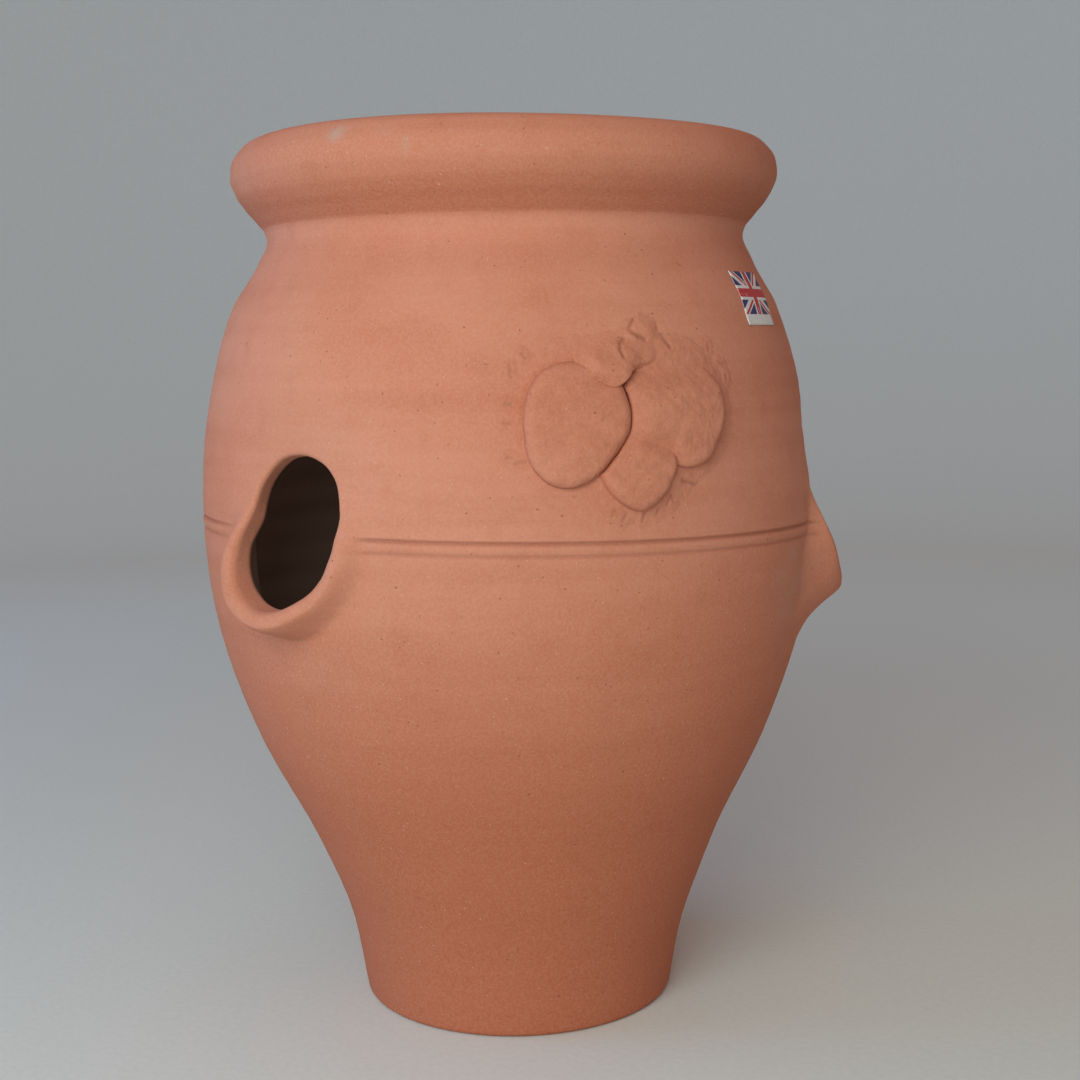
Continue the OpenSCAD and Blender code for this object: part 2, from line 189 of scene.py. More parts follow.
# The wall is a little flatter above each pocket: how far above, half width in degrees and half height
PRESS_RISE = 34
PRESS_HALF = (19, 17)
PRESS_DEPTH = 2.8


def soft_spot(az, z, middle, height, half_az, half_z):
    """1 at a place on the wall, and softly down to 0 round it."""
    return np.exp(-((turned(az, middle) / half_az) ** 2) - ((z - height) / half_z) ** 2)


def pressed(az, z):
    """How far the wall was pressed in above the pockets."""
    height = POCKET_Z + PRESS_RISE
    return sum(PRESS_DEPTH * soft_spot(az, z, turn, height, *PRESS_HALF) for turn in POCKET_TURNS)


def relief(az, z):
    """Height over the smooth wall of throwing rings, a hand-made unevenness and the belly band
    with its two cut lines."""
    a = np.radians(az)
    h = RING_DEPTH * field(a, z, *RINGS) + UNEVEN * field(a, z, *THROWN)
    for middle, height, half_az, half_z, rise in SWELLINGS:
        h = h + rise * soft_spot(az, z, middle, height, half_az, half_z)
    u = z - BAND_Z - band_lean(az)
    band = RIDGE_H * np.clip(1 - (u / RIDGE_W) ** 2, 0, 1) ** 2
    for offset, depth in zip(LINE_OFFSETS, LINE_DEPTHS):
        band = band - depth * np.clip(1 - ((u - offset) / LINE_W) ** 2, 0, 1)
    return h + band * lines_left(az)


def surface(az, z):
    """Height of the outer skin over the smooth wall."""
    return relief(az, z) - pressed(az, z)


def inner_surface(az, z):
    """Height of the inner skin over the smooth inside: finger marks of throwing."""
    a = np.radians(az)
    return FINGER_DEPTH * (field(a, z, *FINGERS) + field(a, z, *THROWN_INSIDE))


# The foot stands a little to the right of the belly
FOOT_SHIFT = 0.8
SHIFT_TO = 150
SHIFT_RUN = 90


def place(az, r, z):
    """Points at an azimuth, radius and height, with the jar's slight lean."""
    a = np.radians(az)
    x = r * np.sin(a) + FOOT_SHIFT * smooth((SHIFT_TO - z) / SHIFT_RUN)
    return np.stack(np.broadcast_arrays(x, -r * np.cos(a), z), axis=-1)


# ---- Making meshes ----

made = []


def grid_faces(keep, columns, wrap):
    """The quads of a grid's kept cells, and its boundary edges in the quads' own sense."""
    i, j = np.nonzero(keep)
    right = (j + 1) % columns if wrap else j + 1
    a, b = i * columns + j, i * columns + right
    c, d = (i + 1) * columns + right, (i + 1) * columns + j
    framed = np.pad(keep, 1)
    if wrap:
        framed[1:-1, 0] = keep[:, -1]
        framed[1:-1, -1] = keep[:, 0]
    edges = []
    for start, end, up, over in ((a, b, -1, 0), (b, c, 0, 1), (c, d, 1, 0), (d, a, 0, -1)):
        bare = ~framed[i + 1 + up, j + 1 + over]
        edges.append(np.stack([start[bare], end[bare]], axis=1))
    return np.stack([a, b, c, d], axis=1), np.concatenate(edges)


def thick_sheet(outer, inner, keep, wrap):
    """A closed solid between two grids of points: its points, its skin and its edge faces."""
    columns = outer.shape[1]
    n = outer.shape[0] * columns
    quads, edges = grid_faces(keep, columns, wrap)
    a, b = edges.T
    points = np.concatenate([outer.reshape(-1, 3), inner.reshape(-1, 3)])
    return points, np.concatenate([quads, quads[:, ::-1] + n]), np.stack([b, a, a + n, b + n], axis=1)


def ring_quads(rings, count, close):
    """Quads between rings of count points each. The last ring joins the first with close."""
    i, j = np.meshgrid(np.arange(rings if close else rings - 1), np.arange(count), indexing="ij")
    following, beside = (i + 1) % rings, (j + 1) % count
    corners = [i * count + j, i * count + beside, following * count + beside, following * count + j]
    return np.stack([c.ravel() for c in corners], axis=1)


def add_piece(node, kind, points, skin, edge, marks, material, slot="terracotta"):
    """Keeps a piece to be made in a CAD node's place: points in mm, skin faces and edge faces. marks are
    named numbers for each point, which the materials read."""
    skin, edge = [tuple(f) for f in skin], [tuple(f) for f in edge]
    made.append(dict(
        name=node + "_" + kind, points=points, skin=skin, edge=edge, marks=marks, replaces=[node],
        material=material, slot=slot,
    ))


def add_object(name, data):
    obj = bpy.data.objects.new(name, data)
    scene.collection.objects.link(obj)
    return obj


def make_piece(piece):
    points = piece["points"]
    faces = piece["skin"] + piece["edge"]
    used, index = np.unique(np.concatenate([np.array(f) for f in faces]), return_inverse=True)
    ends = np.cumsum([len(f) for f in faces])
    faces = [tuple(index[e - len(f):e].tolist()) for e, f in zip(ends, faces)]
    mesh = bpy.data.meshes.new(piece["name"])
    mesh.from_pydata((points[used] * MM).tolist(), [], faces)
    for mark, values in piece["marks"].items():
        attribute = mesh.attributes.new(mark, "FLOAT", "POINT")
        attribute.data.foreach_set("value", values[used].astype(np.float32))
    mesh.shade_smooth()
    if "normals" in piece:
        mesh.normals_split_custom_set(np.concatenate(piece["normals"]).tolist())
    mesh.materials.append(piece["material"])
    obj = add_object(piece["name"], mesh)
    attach(obj, BODY)
    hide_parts(*piece["replaces"])
    return obj


def face_normals(points, quads):
    """Normals of quads, as long as twice their area."""
    p = points[quads]
    return np.cross(p[:, 2] - p[:, 0], p[:, 3] - p[:, 1])


def unit(vectors):
    return vectors / np.maximum(np.linalg.norm(vectors, axis=1), 1e-12)[:, None]


def share_normals(pieces):
    """Pieces that meet edge to edge get the normals of one unbroken skin. Edge faces stay flat."""
    counts = [len(p["points"]) for p in pieces]
    starts = np.cumsum([0] + counts[:-1])
    everything = np.concatenate([p["points"] for p in pieces])
    _, same = np.unique(np.round(everything, 3), axis=0, return_inverse=True)
    same = same.ravel()
    total = np.zeros((same.max() + 1, 3))
    for piece, start in zip(pieces, starts):
        quads = np.array(piece["skin"])
        normals = face_normals(piece["points"], quads)
        for corner in range(4):
            np.add.at(total, same[quads[:, corner] + start], normals)
    total = unit(total)
    for piece, start in zip(pieces, starts):
        quads = np.array(piece["skin"])
        flat = unit(face_normals(piece["points"], np.array(piece["edge"])))
        piece["normals"] = [total[same[quads.ravel() + start]], np.repeat(flat, 4, axis=0)]


# ---- Materials ----


def colour(red, green, blue):
    """An sRGB colour of 0 to 255 as Blender's linear one."""
    parts = [c / 255 for c in (red, green, blue)]
    return [*(c / 12.92 if c <= 0.04045 else ((c + 0.055) / 1.055) ** 2.4 for c in parts), 1]


class Nodes:
    """A material's node tree, with short calls for the nodes that are used here."""

    def __init__(self, name, roughness, specular):
        self.material = bpy.data.materials.new(name)
        self.material.use_nodes = True
        self.tree = self.material.node_tree
        self.shader = self.tree.nodes["Principled BSDF"]
        self.shader.inputs["Roughness"].default_value = roughness
        self.shader.inputs["Specular IOR Level"].default_value = specular

    def node(self, kind, inputs, **settings):
        made_node = self.tree.nodes.new(kind)
        for key, value in settings.items():
            setattr(made_node, key, value)
        for key, value in inputs.items():
            if isinstance(value, bpy.types.NodeSocket):
                self.tree.links.new(value, made_node.inputs[key])
            else:
                made_node.inputs[key].default_value = value
        return made_node

    def maths(self, operation, first, second=0.0, third=0.0):
        return self.node("ShaderNodeMath", {0: first, 1: second, 2: third}, operation=operation).outputs[0]

    def place(self, scale):
        """Object coordinates in metres, times a scale along each axis."""
        where = self.node("ShaderNodeTexCoord", {}).outputs["Object"]
        return self.node("ShaderNodeMapping", {"Vector": where, "Scale": scale}).outputs[0]

    def noise(self, scale, detail=3.0, stretch=(1, 1, 1), rough=0.5):
        """Noise with features of about 1 / scale metres."""
        inputs = {"Vector": self.place(stretch), "Scale": scale, "Detail": detail, "Roughness": rough}
        return self.node("ShaderNodeTexNoise", inputs).outputs["Fac"]

    def step(self, value, low, high, out_low=0.0, out_high=1.0):
        """value from low to high becomes out_low to out_high, with soft ends."""
        inputs = {"Value": value, "From Min": low, "From Max": high, "To Min": out_low, "To Max": out_high}
        return self.node("ShaderNodeMapRange", inputs, interpolation_type="SMOOTHSTEP").outputs[0]

    def mix(self, share, first, second):
        """The first colour with a share of the second."""
        return self.node("ShaderNodeMix", {0: share, 6: first, 7: second}, data_type="RGBA").outputs[2]

    def mark(self, name):
        """A number that the mesh holds for each point."""
        return self.node("ShaderNodeAttribute", {}, attribute_name=name).outputs["Fac"]

    def finish(self, base, roughness, height, depth):
        """Joins up the shader. height is in units of depth, which is in metres."""
        bump = self.node("ShaderNodeBump", {"Height": height, "Distance": depth, "Strength": 1.0})
        for key, socket in (("Base Color", base), ("Roughness", roughness), ("Normal", bump.outputs[0])):
            self.tree.links.new(socket, self.shader.inputs[key])
        return self.material


CLAY = colour(206, 130, 100)
CLAY_PALE = colour(213, 142, 115)
# Darker, more orange clay towards the foot: partly its own tone, partly painted shade where the light falls
# off downwards
CLAY_LOW_AND_SHADE = colour(190, 109, 77)
# Deeper clay tone, which also paints the shade under the rim
CLAY_DEEP_AND_SHADE = colour(178, 99, 68)
# Dark grit, and the painted shade in grooves and creases
DARK_GRIT_AND_SHADE = colour(112, 62, 46)
CHALK = colour(226, 187, 163)
BLOOM = colour(190, 158, 140)
# Grey-brown inside of the jar and pockets: soil stain and painted shade of the hollow
SOIL_AND_SHADE = colour(142, 127, 113)
# Heights in metres between which the lower tone (partly the clay's own, partly painted shade where the light
# falls off downwards), and the painted shade under the rim, begin and end
LOW_TONE_HEIGHTS = (0.26, 0.09)
SHADE_BELOW = (0.358, 0.363)
SHADE_ABOVE = (0.380, 0.368)
# Two sizes of grit: cells in a metre, and the chance above which a cell holds some
GRIT = ((1250.0, 0.985), (1050.0, 0.994))
GRIT_WARP = 0.0016
CLAY_BUMP = 0.00022


def terracotta(name, pale=0.0, wear=0.0, deep=0.0, lumpy=0.0):
    """Unglazed terracotta: soft bands from throwing, mottled firing, pale and dark grit, fine pits, a lower
    tone that is partly painted shade, and painted shade under the rim, in grooves and inside with soil
    stain.
    pale lightens it, deep darkens it, wear adds rubbed places and lumpy an uneven surface."""
    m = Nodes(name, roughness=0.9, specular=0.16)
    where = m.place((1, 1, 1))
    rise = m.node("ShaderNodeSeparateXYZ", {"Vector": where}).outputs["Z"]
    # A band of painted shade under the rim's roll
    painted_rim_shade = m.maths("MULTIPLY", m.step(rise, *SHADE_BELOW), m.step(rise, *SHADE_ABOVE))
    bands = m.noise(1.0, 4, (5, 5, 85))
    grain = m.noise(900, 3)
    warp = m.node("ShaderNodeTexNoise", {"Vector": where, "Scale": 900.0}).outputs["Color"]
    bent = m.node("ShaderNodeVectorMath", {0: warp, "Scale": GRIT_WARP}, operation="SCALE").outputs[0]
    bent = m.node("ShaderNodeVectorMath", {0: bent, 1: where}, operation="ADD").outputs[0]
    grit = []
    for scale, chosen in GRIT:
        cells = m.node("ShaderNodeTexVoronoi", {"Vector": bent, "Scale": scale})
        chance = m.node("ShaderNodeSeparateColor", {"Color": cells.outputs["Color"]}).outputs["Red"]
        near = m.step(cells.outputs["Distance"], 0.45, 0.15)
        grit.append(m.maths("MULTIPLY", near, m.maths("GREATER_THAN", chance, chosen)))
    pale_grit, dark_grit = grit
    # Some layers paint shade: the lower tone in part, the band under the rim, the grooves and the inside
    layers = [
        (m.step(rise, *LOW_TONE_HEIGHTS), 1, CLAY_LOW_AND_SHADE), (deep, 1, CLAY_DEEP_AND_SHADE), (painted_rim_shade, 0.5, CLAY_DEEP_AND_SHADE),
        (m.step(bands, 0.35, 0.75), 0.24, CLAY_DEEP_AND_SHADE), (m.step(m.noise(75, 4), 0.45, 0.8), 0.2, CLAY_DEEP_AND_SHADE),
        (m.step(grain, 0.3, 0.75, pale, pale + 0.16), 1, CHALK), (pale_grit, 0.75, CHALK),
        (dark_grit, 0.5, DARK_GRIT_AND_SHADE), (m.step(m.noise(32, 4), 0.58, 0.72), wear, CHALK),
        (m.mark("bloom"), 1, BLOOM), (m.mark("groove"), 0.45, DARK_GRIT_AND_SHADE), (m.mark("inside"), 0.92, SOIL_AND_SHADE),
    ]
    base = m.mix(m.step(m.noise(9, 3), 0.3, 0.7), CLAY, CLAY_PALE)
    for mask, share, tone in layers:
        base = m.mix(m.maths("MULTIPLY", mask, share), base, tone)
    # Fine throwing lines, grain, pits at the dark grit, pale grit that stands out, and soft bumps
    height = m.maths("MULTIPLY", m.noise(1.0, 5, (14, 14, 520)), 0.5)
    uneven = (m.noise(260, 3), 0.8), (m.noise(210, 4), lumpy)
    for bump, share in ((grain, 0.5), (dark_grit, -1.2), (pale_grit, 0.5), *uneven):
        height = m.maths("MULTIPLY_ADD", bump, share, height)
    return m.finish(base, m.step(grain, 0.2, 0.8, 0.82, 0.96), height, CLAY_BUMP)


wall_clay = terracotta("terracotta_wall")
rim_clay = terracotta("terracotta_rim", wear=0.04, deep=0.27)
pocket_clay = terracotta("terracotta_pocket", pale=0.03)
sprig_clay = terracotta("terracotta_sprig", deep=0.14, lumpy=3.5)


# ---- The wall's grids ----

COLUMNS = 360
azimuths = np.arange(COLUMNS) * 360.0 / COLUMNS - 180
# Each pocket's piece of the wall: its lowest and highest row, and its half width in columns
WINDOW_LOW = 166.2
WINDOW_HIGH = 276.6
WINDOW_HALF = 18
FINE_HALF = 6.0
# Grid rows up the wall: fine about the band, and a row at each edge of the pockets' windows
row_ends = (FOOT_EDGE_R, WINDOW_LOW, BAND_Z - FINE_HALF, BAND_Z, BAND_Z + FINE_HALF, WINDOW_HIGH, SEAT_Z)
row_steps = (2.2, 2.2, 0.4, 0.4, 2.2, 2.1)
rows = np.concatenate([
    np.linspace(a, b, round((b - a) / step), endpoint=False)
    for a, b, step in zip(row_ends, row_ends[1:], row_steps)
] + [[SEAT_Z]])

grid_az, grid_w = np.meshgrid(azimuths, rows)
grid_z = row_z(grid_az, grid_w)
# The height over the smooth wall fades out at the foot and at the seat of the rim
FOOT_EASE = 12
SEAT_EASE = 14
ease = smooth((grid_w - FOOT_EDGE_R) / FOOT_EASE) * smooth((SEAT_Z - grid_w) / SEAT_EASE)
outer_wall = place(grid_az, wall_r(grid_z) + surface(grid_az, grid_z) * ease, grid_z)
inner_wall = place(grid_az, inner_r(grid_z) - inner_surface(grid_az, grid_z) * ease, grid_z)

band_row = int(np.argmin(np.abs(rows - BAND_Z)))
window_rows = [int(np.argmin(np.abs(rows - w))) for w in (WINDOW_LOW, WINDOW_HIGH)]


def window_columns(turn):
    """The first and last column of a pocket's window."""
    middle = int(turned(turn, -180) % 360)
    return middle - WINDOW_HALF, middle + WINDOW_HALF


keep = np.ones((len(rows) - 1, COLUMNS), bool)
for turn in POCKET_TURNS:
    keep[slice(*window_rows), slice(*window_columns(turn))] = False

# Pale places on the clay: azimuth, height, half width, half height and strength
BLOOMS = [
    (60.5, 203, 32, 34, 0.38), (-33, 393, 6.5, 5.5, 0.9), (-22, 393, 5.5, 4.5, 0.5), (-18, 387, 3, 8, 0.35),
]
# Width of the painted shade in the band's cut lines
GROOVE_SHADE_W = 0.8


def marks_at(points, inside):
    """The marks of clay points: how much soil stain and painted shade the inside has, how pale with bloom,
    and how much painted shade lies in the grooves.
    """
    x, y, z = points.T
    az = np.degrees(np.arctan2(x, -y))
    bloom = np.zeros(len(points))
    for middle, height, wide, tall, strength in BLOOMS:
        across = np.radians(turned(az, middle)) * np.hypot(x, y)
        away = np.hypot(across / wide, (z - height) / tall)
        patchy = 0.75 + 0.25 * field(np.radians(az) * 10, z, *BLOOM_PATCHES)
        bloom = np.maximum(bloom, strength * (1 - smooth(away)) * patchy)
    u = z - BAND_Z - band_lean(az)
    # Painted shade in the band's two cut lines
    groove = np.zeros(len(points))
    for offset, depth in zip(LINE_OFFSETS, LINE_DEPTHS):
        groove += depth * np.exp(-(((u - offset) / GROOVE_SHADE_W) ** 2))
    groove = np.clip(groove * lines_left(az), 0, 1)
    return {"inside": inside, "bloom": bloom * (1 - inside), "groove": groove * (1 - inside)}


# The inside's soil stain and painted shade begin at this height and are full this far below it
SOIL_SHADE_TOP = 392
SOIL_SHADE_RUN = 60


def soil_and_shade_depth(z):
    """How much soil stain and painted shade the inside has, growing from the mouth down."""
    return smooth((SOIL_SHADE_TOP - z) / SOIL_SHADE_RUN)


def along(corners, count):
    """count points evenly spaced along a path of (radius, height) corners."""
    corners = np.array(corners, float)
    lengths = np.concatenate([[0], np.cumsum(np.linalg.norm(np.diff(corners, axis=0), axis=1))])
    at = np.linspace(0, lengths[-1], count)
    return np.stack([np.interp(at, lengths, corners[:, k]) for k in (0, 1)], axis=1)


def add_wall(node, outer, inner, kept):
    points, skin, edge = thick_sheet(outer, inner, kept, wrap=True)
    inside = np.concatenate([np.zeros(outer.size // 3), soil_and_shade_depth(inner.reshape(-1, 3)[:, 2])])
    add_piece(node, "thrown", points, skin, edge, marks_at(points, inside), wall_clay)


# Points across the underside, round the foot's edge and round the floor's soft corner
UNDER_RINGS, EDGE_RINGS, FILLET_RINGS = 12, 7, 9


def build_lower_wall():
    """The lower half of the wall, with the foot, the floor and the drainage hole."""
    edge_r = float(wall_r(FOOT_EDGE_R)) - FOOT_EDGE_R
    bottom = [(r, 0) for r in np.linspace(DRAIN_R, edge_r, UNDER_RINGS)]
    arc = [(edge_r + FOOT_EDGE_R * math.sin(a), FOOT_EDGE_R * (1 - math.cos(a)))
           for a in np.linspace(0, math.pi / 2, EDGE_RINGS)[1:-1]]
    foot = np.array(bottom + arc)
    corner_row = int(np.searchsorted(rows, FLOOR_T + FLOOR_FILLET_R))
    top_z = rows[corner_row]
    centre_r = float(inner_r(top_z)) - FLOOR_FILLET_R
    fillet = [(centre_r + FLOOR_FILLET_R * math.cos(a), top_z - (top_z - FLOOR_T) * math.sin(a))
              for a in np.linspace(math.pi / 2, 0, FILLET_RINGS)]
    floor = along([(DRAIN_R, FLOOR_T)] + fillet, len(foot) + corner_row + 1)[:-1]
    foot_grid, floor_grid = (place(azimuths, path[:, :1], path[:, 1:]) for path in (foot, floor))
    outer = np.concatenate([foot_grid, outer_wall[:band_row + 1]])
    inner = np.concatenate([floor_grid, inner_wall[corner_row:band_row + 1]])
    kept = np.concatenate([np.ones((len(foot), COLUMNS), bool), keep[:band_row]])
    add_wall("lower_wall", outer, inner, kept)


# The rim dips towards the front, and its roll isn't quite round or level
RIM_DIP = 1.3
RIM_DIP_AZ = 25
RIDGE_RISE = 0.16
WAVE_RISE = 0.3
# Points under, over and inside the roll, and down to the seat
RIM_RINGS = (22, 19, 15, 13)


def build_rim():
    """The rolled rim, from its seat up over the roll and down inside."""
    rim_z = SEAT_Z + RIM_DROP
    under_count, over_count, inner_count, down_count = RIM_RINGS
    t = np.linspace(0, 1, under_count)[:-1]
    flare = cubic(t, SEAT_R, SEAT_R + RIM_OUT, RIM_OUT * RIM_FLARE, 0)
    under = np.stack([flare, SEAT_Z + RIM_DROP * t], axis=1)
    a = np.linspace(0, math.pi / 2, over_count)[:-1]
    over = np.stack([SEAT_R + RIM_OUT * np.cos(a), rim_z + RIM_RISE * np.sin(a)], axis=1)
    a = np.linspace(math.pi / 2, math.pi, inner_count)[:-1]
    inner = np.stack([SEAT_R + WALL_T * np.cos(a), rim_z + RIM_RISE * np.sin(a)], axis=1)
    z = np.linspace(rim_z, SEAT_Z, down_count)
    down = np.stack([np.interp(z, (SEAT_Z, rim_z), (inner_r(SEAT_Z), SEAT_R - WALL_T)), z], axis=1)
    profile = np.concatenate([under, over, inner, down])
    az, r = np.meshgrid(azimuths, profile[:, 0])
    z = np.broadcast_to(profile[:, 1:], az.shape)
    free = smooth((z - SEAT_Z) / 8)
    a = np.radians(az)
    ridges = RIDGE_RISE * field(a, z, *RIM_RIDGES) + WAVE_RISE * field(a, z, *RIM_WAVES)
    outwards = smooth((r - SEAT_R + 6) / 10)
    dip = RIM_DIP * (0.5 + 0.5 * np.cos(a - math.radians(RIM_DIP_AZ))) ** 2
    level = 0.4 * np.cos(2 * a + 0.6) + 0.3 * np.cos(3 * a + 2) - dip
    grid = place(az, r + ridges * free * outwards, z + level * free * smooth((z - SEAT_Z) / 30))
    quads = ring_quads(len(profile), COLUMNS, close=True)
    points = grid.reshape(-1, 3)
    within_mouth = np.arange(len(profile)) >= len(profile) - len(down)
    inside = np.repeat(within_mouth, COLUMNS) * soil_and_shade_depth(points[:, 2])
    seat = len(quads) - COLUMNS
    marks = marks_at(points, inside)
    add_piece("rolled_rim", "thrown", points, quads[:seat], quads[seat:], marks, rim_clay)


# ---- Pockets ----

# The mouths were cut by eye: outlines of [x, z] points from a pocket's middle
MOUTH_LEFT = [
    (22, 0), (22, 11), (19, 22), (12.5, 29), (2, 32.5), (-10, 31), (-19, 24), (-25.5, 14), (-28.5, 4),
    (-31, -6), (-30, -15), (-25, -22), (-18, -28), (-9, -30.5), (0, -29), (7, -25), (15, -17.5),
    (20, -8.5),
]


def oval_mouth(half_wide, half_tall=32, rise=1):
    turns = np.radians(np.arange(0, 360, 15))
    return [(half_wide * math.cos(t), rise + half_tall * math.sin(t)) for t in turns]


MOUTH_RIGHT = oval_mouth(24.5)
MOUTH_BACK = oval_mouth(27)
# The outline of the mouth, how much further and less the lip reaches (see LEAN_TO and HOLD_TO), and the
# clay that runs out from it into the wall: its width below and beside the mouth, its steepness, its
# corner (see eased) and how full it is
POCKETS = {
    "pocket_left": (MOUTH_LEFT, 0.33, 0.38, 8, 12, 1.5, None, 0.8),
    "pocket_right": (MOUTH_RIGHT, 0, 0, 34, 7, 2.7, 0.15, 0),
    "pocket_back": (MOUTH_BACK, 0.1, 0.1, 22, 14, 1.4, None, 0.4),
}
# Directions from a mouth's middle in which the lip reaches further and less, and the clay is full
LEAN_TO, HOLD_TO, FULL_TO = 200, 314, 225
LIP_START = 0.4
LIP_SOFT = 0.55
# Radius of the lip's roll where the lip is full and where it has died out
ROLL_R = 6.0
EDGE_R = 2.6
THROAT_R = 3.0
# The wall itself was pushed out, so the inside edge of the throat follows the lip by this share
THROAT_PUSH = 0.68
LUMP_RISE = 0.25
# Rings of points on the flank, the lip's roll, the throat, its inner edge and the inside of the wall
FLANK_RINGS, ROLL_RINGS, THROAT_RINGS, TURN_RINGS, BACK_RINGS = 29, 10, 6, 6, 12


def outline_reach(outline, middle, a):
    """Distance from a point to the edge of a closed outline, smoothed, in each direction a."""
    s, z = (np.array(outline, float) - middle).T
    table = np.radians(np.arange(360.0))
    at = np.arctan2(z, s) % (2 * math.pi)
    order = np.argsort(at)
    reach = np.interp(table, at[order], np.hypot(s, z)[order], period=2 * math.pi)
    window = np.hanning(17)
    padded = np.concatenate([reach[-8:], reach, reach[:8]])
    reach = np.convolve(padded, window / window.sum(), mode="valid")
    return np.interp(a, table, reach, period=2 * math.pi)


def eased(t, corner):
    """t from 0 to 1 with soft ends, or straight but for a short soft start where a corner is given."""
    if corner is None:
        return smooth(t)
    return (np.hypot(t, corner) - corner) / (math.hypot(1, corner) - corner)


def lip_share(a):
    """How much of its reach the lip has in direction a: all of it below the mouth, none above."""
    down = np.clip((LIP_START - np.sin(a)) / (1 + LIP_START), 0, 1)
    return LIP_SOFT * np.sin(down * math.pi / 2) ** 1.3 + (1 - LIP_SOFT) * down**1.2


def out_from(middle, distance, a):
    """Points at a distance from a middle in directions a."""
    return middle[0] + distance * np.cos(a), middle[1] + distance * np.sin(a)


def azimuth_at(x, r, turn):
    """The azimuth of a point x across a pocket, at radius r."""
    return turn + np.degrees(np.arcsin(np.clip(x / r, -0.99, 0.99)))


def away_from(a, direction):
    """Degrees between directions a, which are in radians, and one direction in degrees."""
    return np.abs(turned(np.degrees(a), direction))


def build_pocket(name, turn, seed):
    """The worked clay of a pocket: wall that swells into a rolled lip, and the throat behind it."""
    rng = np.random.default_rng(seed)
    phase = rng.uniform(0, 2 * math.pi, 4)
    outline, lean, hold, flank_low, flank_side, steepness, corner, fullness = POCKETS[name]
    left, right = window_columns(turn)
    low, high = window_rows
    loop = [(i, right) for i in range(low, high)] + [(high, j) for j in range(right, left, -1)]
    loop += [(i, left) for i in range(high, low, -1)] + [(low, j) for j in range(left, right)]
    i, j = np.array(loop).T
    az, z_far = grid_az[i, j], grid_z[i, j]
    across = np.radians(turned(az, turn))
    x_far, x_back = wall_r(z_far) * np.sin(across), inner_r(z_far) * np.sin(across)
    a = np.arctan2(z_far - POCKET_Z, x_far)
    far = np.hypot(x_far, z_far - POCKET_Z)
    share = lip_share(a)
    leftwards = 1 - np.clip(away_from(a, LEAN_TO) / 90, 0, 1)
    rightwards = 1 - smooth(away_from(a, HOLD_TO) / 60)
    out = LIP_REACH * share * (1 + lean * leftwards - hold * rightwards + 0.02 * np.cos(3 * a + phase[0]))
    roll = EDGE_R + (ROLL_R - EDGE_R) * smooth(share * 1.6)
    mouth = outline_reach(outline, (0, 0), a) * (1 + 0.008 * np.cos(4 * a + phase[1]))
    throat = mouth * (1 + 0.01 * np.cos(3 * a + phase[2]) + 0.006 * np.cos(5 * a + phase[3]))
    push = THROAT_PUSH * out * smooth(share * 2)
    crest = mouth + roll
    flank = flank_side + (flank_low - flank_side) * smooth((share - 0.4) / 0.6)
    flank = np.minimum(flank, far - crest - 0.5)
    full = fullness * (1 - smooth((away_from(a, FULL_TO) - 30) / 50))

    def fill(distance, height, calm):
        """A ring of skin at a distance from the mouth's middle and a height off the wall. calm is 0 on
        the thrown wall and 1 where the clay was worked smooth."""
        x, z = out_from((0, POCKET_Z), distance, a)
        at = azimuth_at(x, wall_r(z), turn)
        uneven = LUMP_RISE * field(np.radians(at) * 8, z, seed + 50, 8, 5, 30) * math.sin(calm * math.pi / 2)
        r = wall_r(z) - pressed(at, z) + relief(at, z) * (1 - 0.7 * calm) + height + uneven
        return place(azimuth_at(x, r, turn), r, z)

    outer = []
    for v in np.linspace(1, 0, FLANK_RINGS + 1)[:-1] ** 1.25:
        distance = crest + v * (far - crest)
        gone = np.clip((distance - crest) / flank, 0, 1)
        fall = (1 - eased(gone, corner)) ** steepness
        height = out * ((1 - full) * fall + full * (1 - gone**2))
        outer.append(fill(distance, height, 1 - v))
    outer[0] = outer_wall[i, j]
    for phi in np.linspace(0, math.pi / 2, ROLL_RINGS):
        outer.append(fill(crest - roll * math.sin(phi), out - roll * (1 - math.cos(phi)), 1.0))
    # The throat goes straight in, and rounds over to the inside of the wall
    rim_z = POCKET_Z + throat * np.sin(a)
    bottom = push + inner_r(rim_z) - wall_r(rim_z) + THROAT_R
    for v in np.linspace(0, 1, THROAT_RINGS + 1)[1:]:
        outer.append(fill(mouth + v * (throat - mouth), (1 - v) * (out - roll) + v * bottom, 1.0))
    for phi in np.linspace(0, math.pi / 2, TURN_RINGS + 1)[1:]:
        distance = throat + THROAT_R * (1 - math.cos(phi))
        outer.append(fill(distance, bottom - THROAT_R * math.sin(phi), 1.0))
    x_end, z_end = out_from((0, POCKET_Z), throat + THROAT_R, a)
    back = []
    for v in np.linspace(0, 1, BACK_RINGS + 1)[1:]:
        x, z = x_end + v * (x_back - x_end), z_end + v * (z_far - z_end)
        at = azimuth_at(x, inner_r(z), turn)
        r = inner_r(z) - inner_surface(at, z) * v + push * (1 - smooth(v * 1.1))
        back.append(place(azimuth_at(x, r, turn), r, z))
    back[-1] = inner_wall[i, j]
    sections = np.stack(outer + back)
    quads = ring_quads(len(sections), len(loop), close=True)
    points = sections.reshape(-1, 3)
    # The throat's inner turn and the inside behind it get soil stain and painted shade, growing inwards
    turning = np.linspace(0, 1, TURN_RINGS + 1)[1:]
    inside_soil_and_shade = np.concatenate([np.zeros(len(outer) - TURN_RINGS), turning, np.ones(BACK_RINGS)])
    seam = len(quads) - len(loop)
    marks = marks_at(points, np.repeat(inside_soil_and_shade, len(loop)))
    add_piece(name, "worked", points, quads[:seam], quads[seam:], marks, pocket_clay)


# ---- The strawberry sprig ----

SPRIG_AZ = 21
SPRIG_Z = 277.0
LEAF_T = 0.9
BERRY_RISE = 4.9
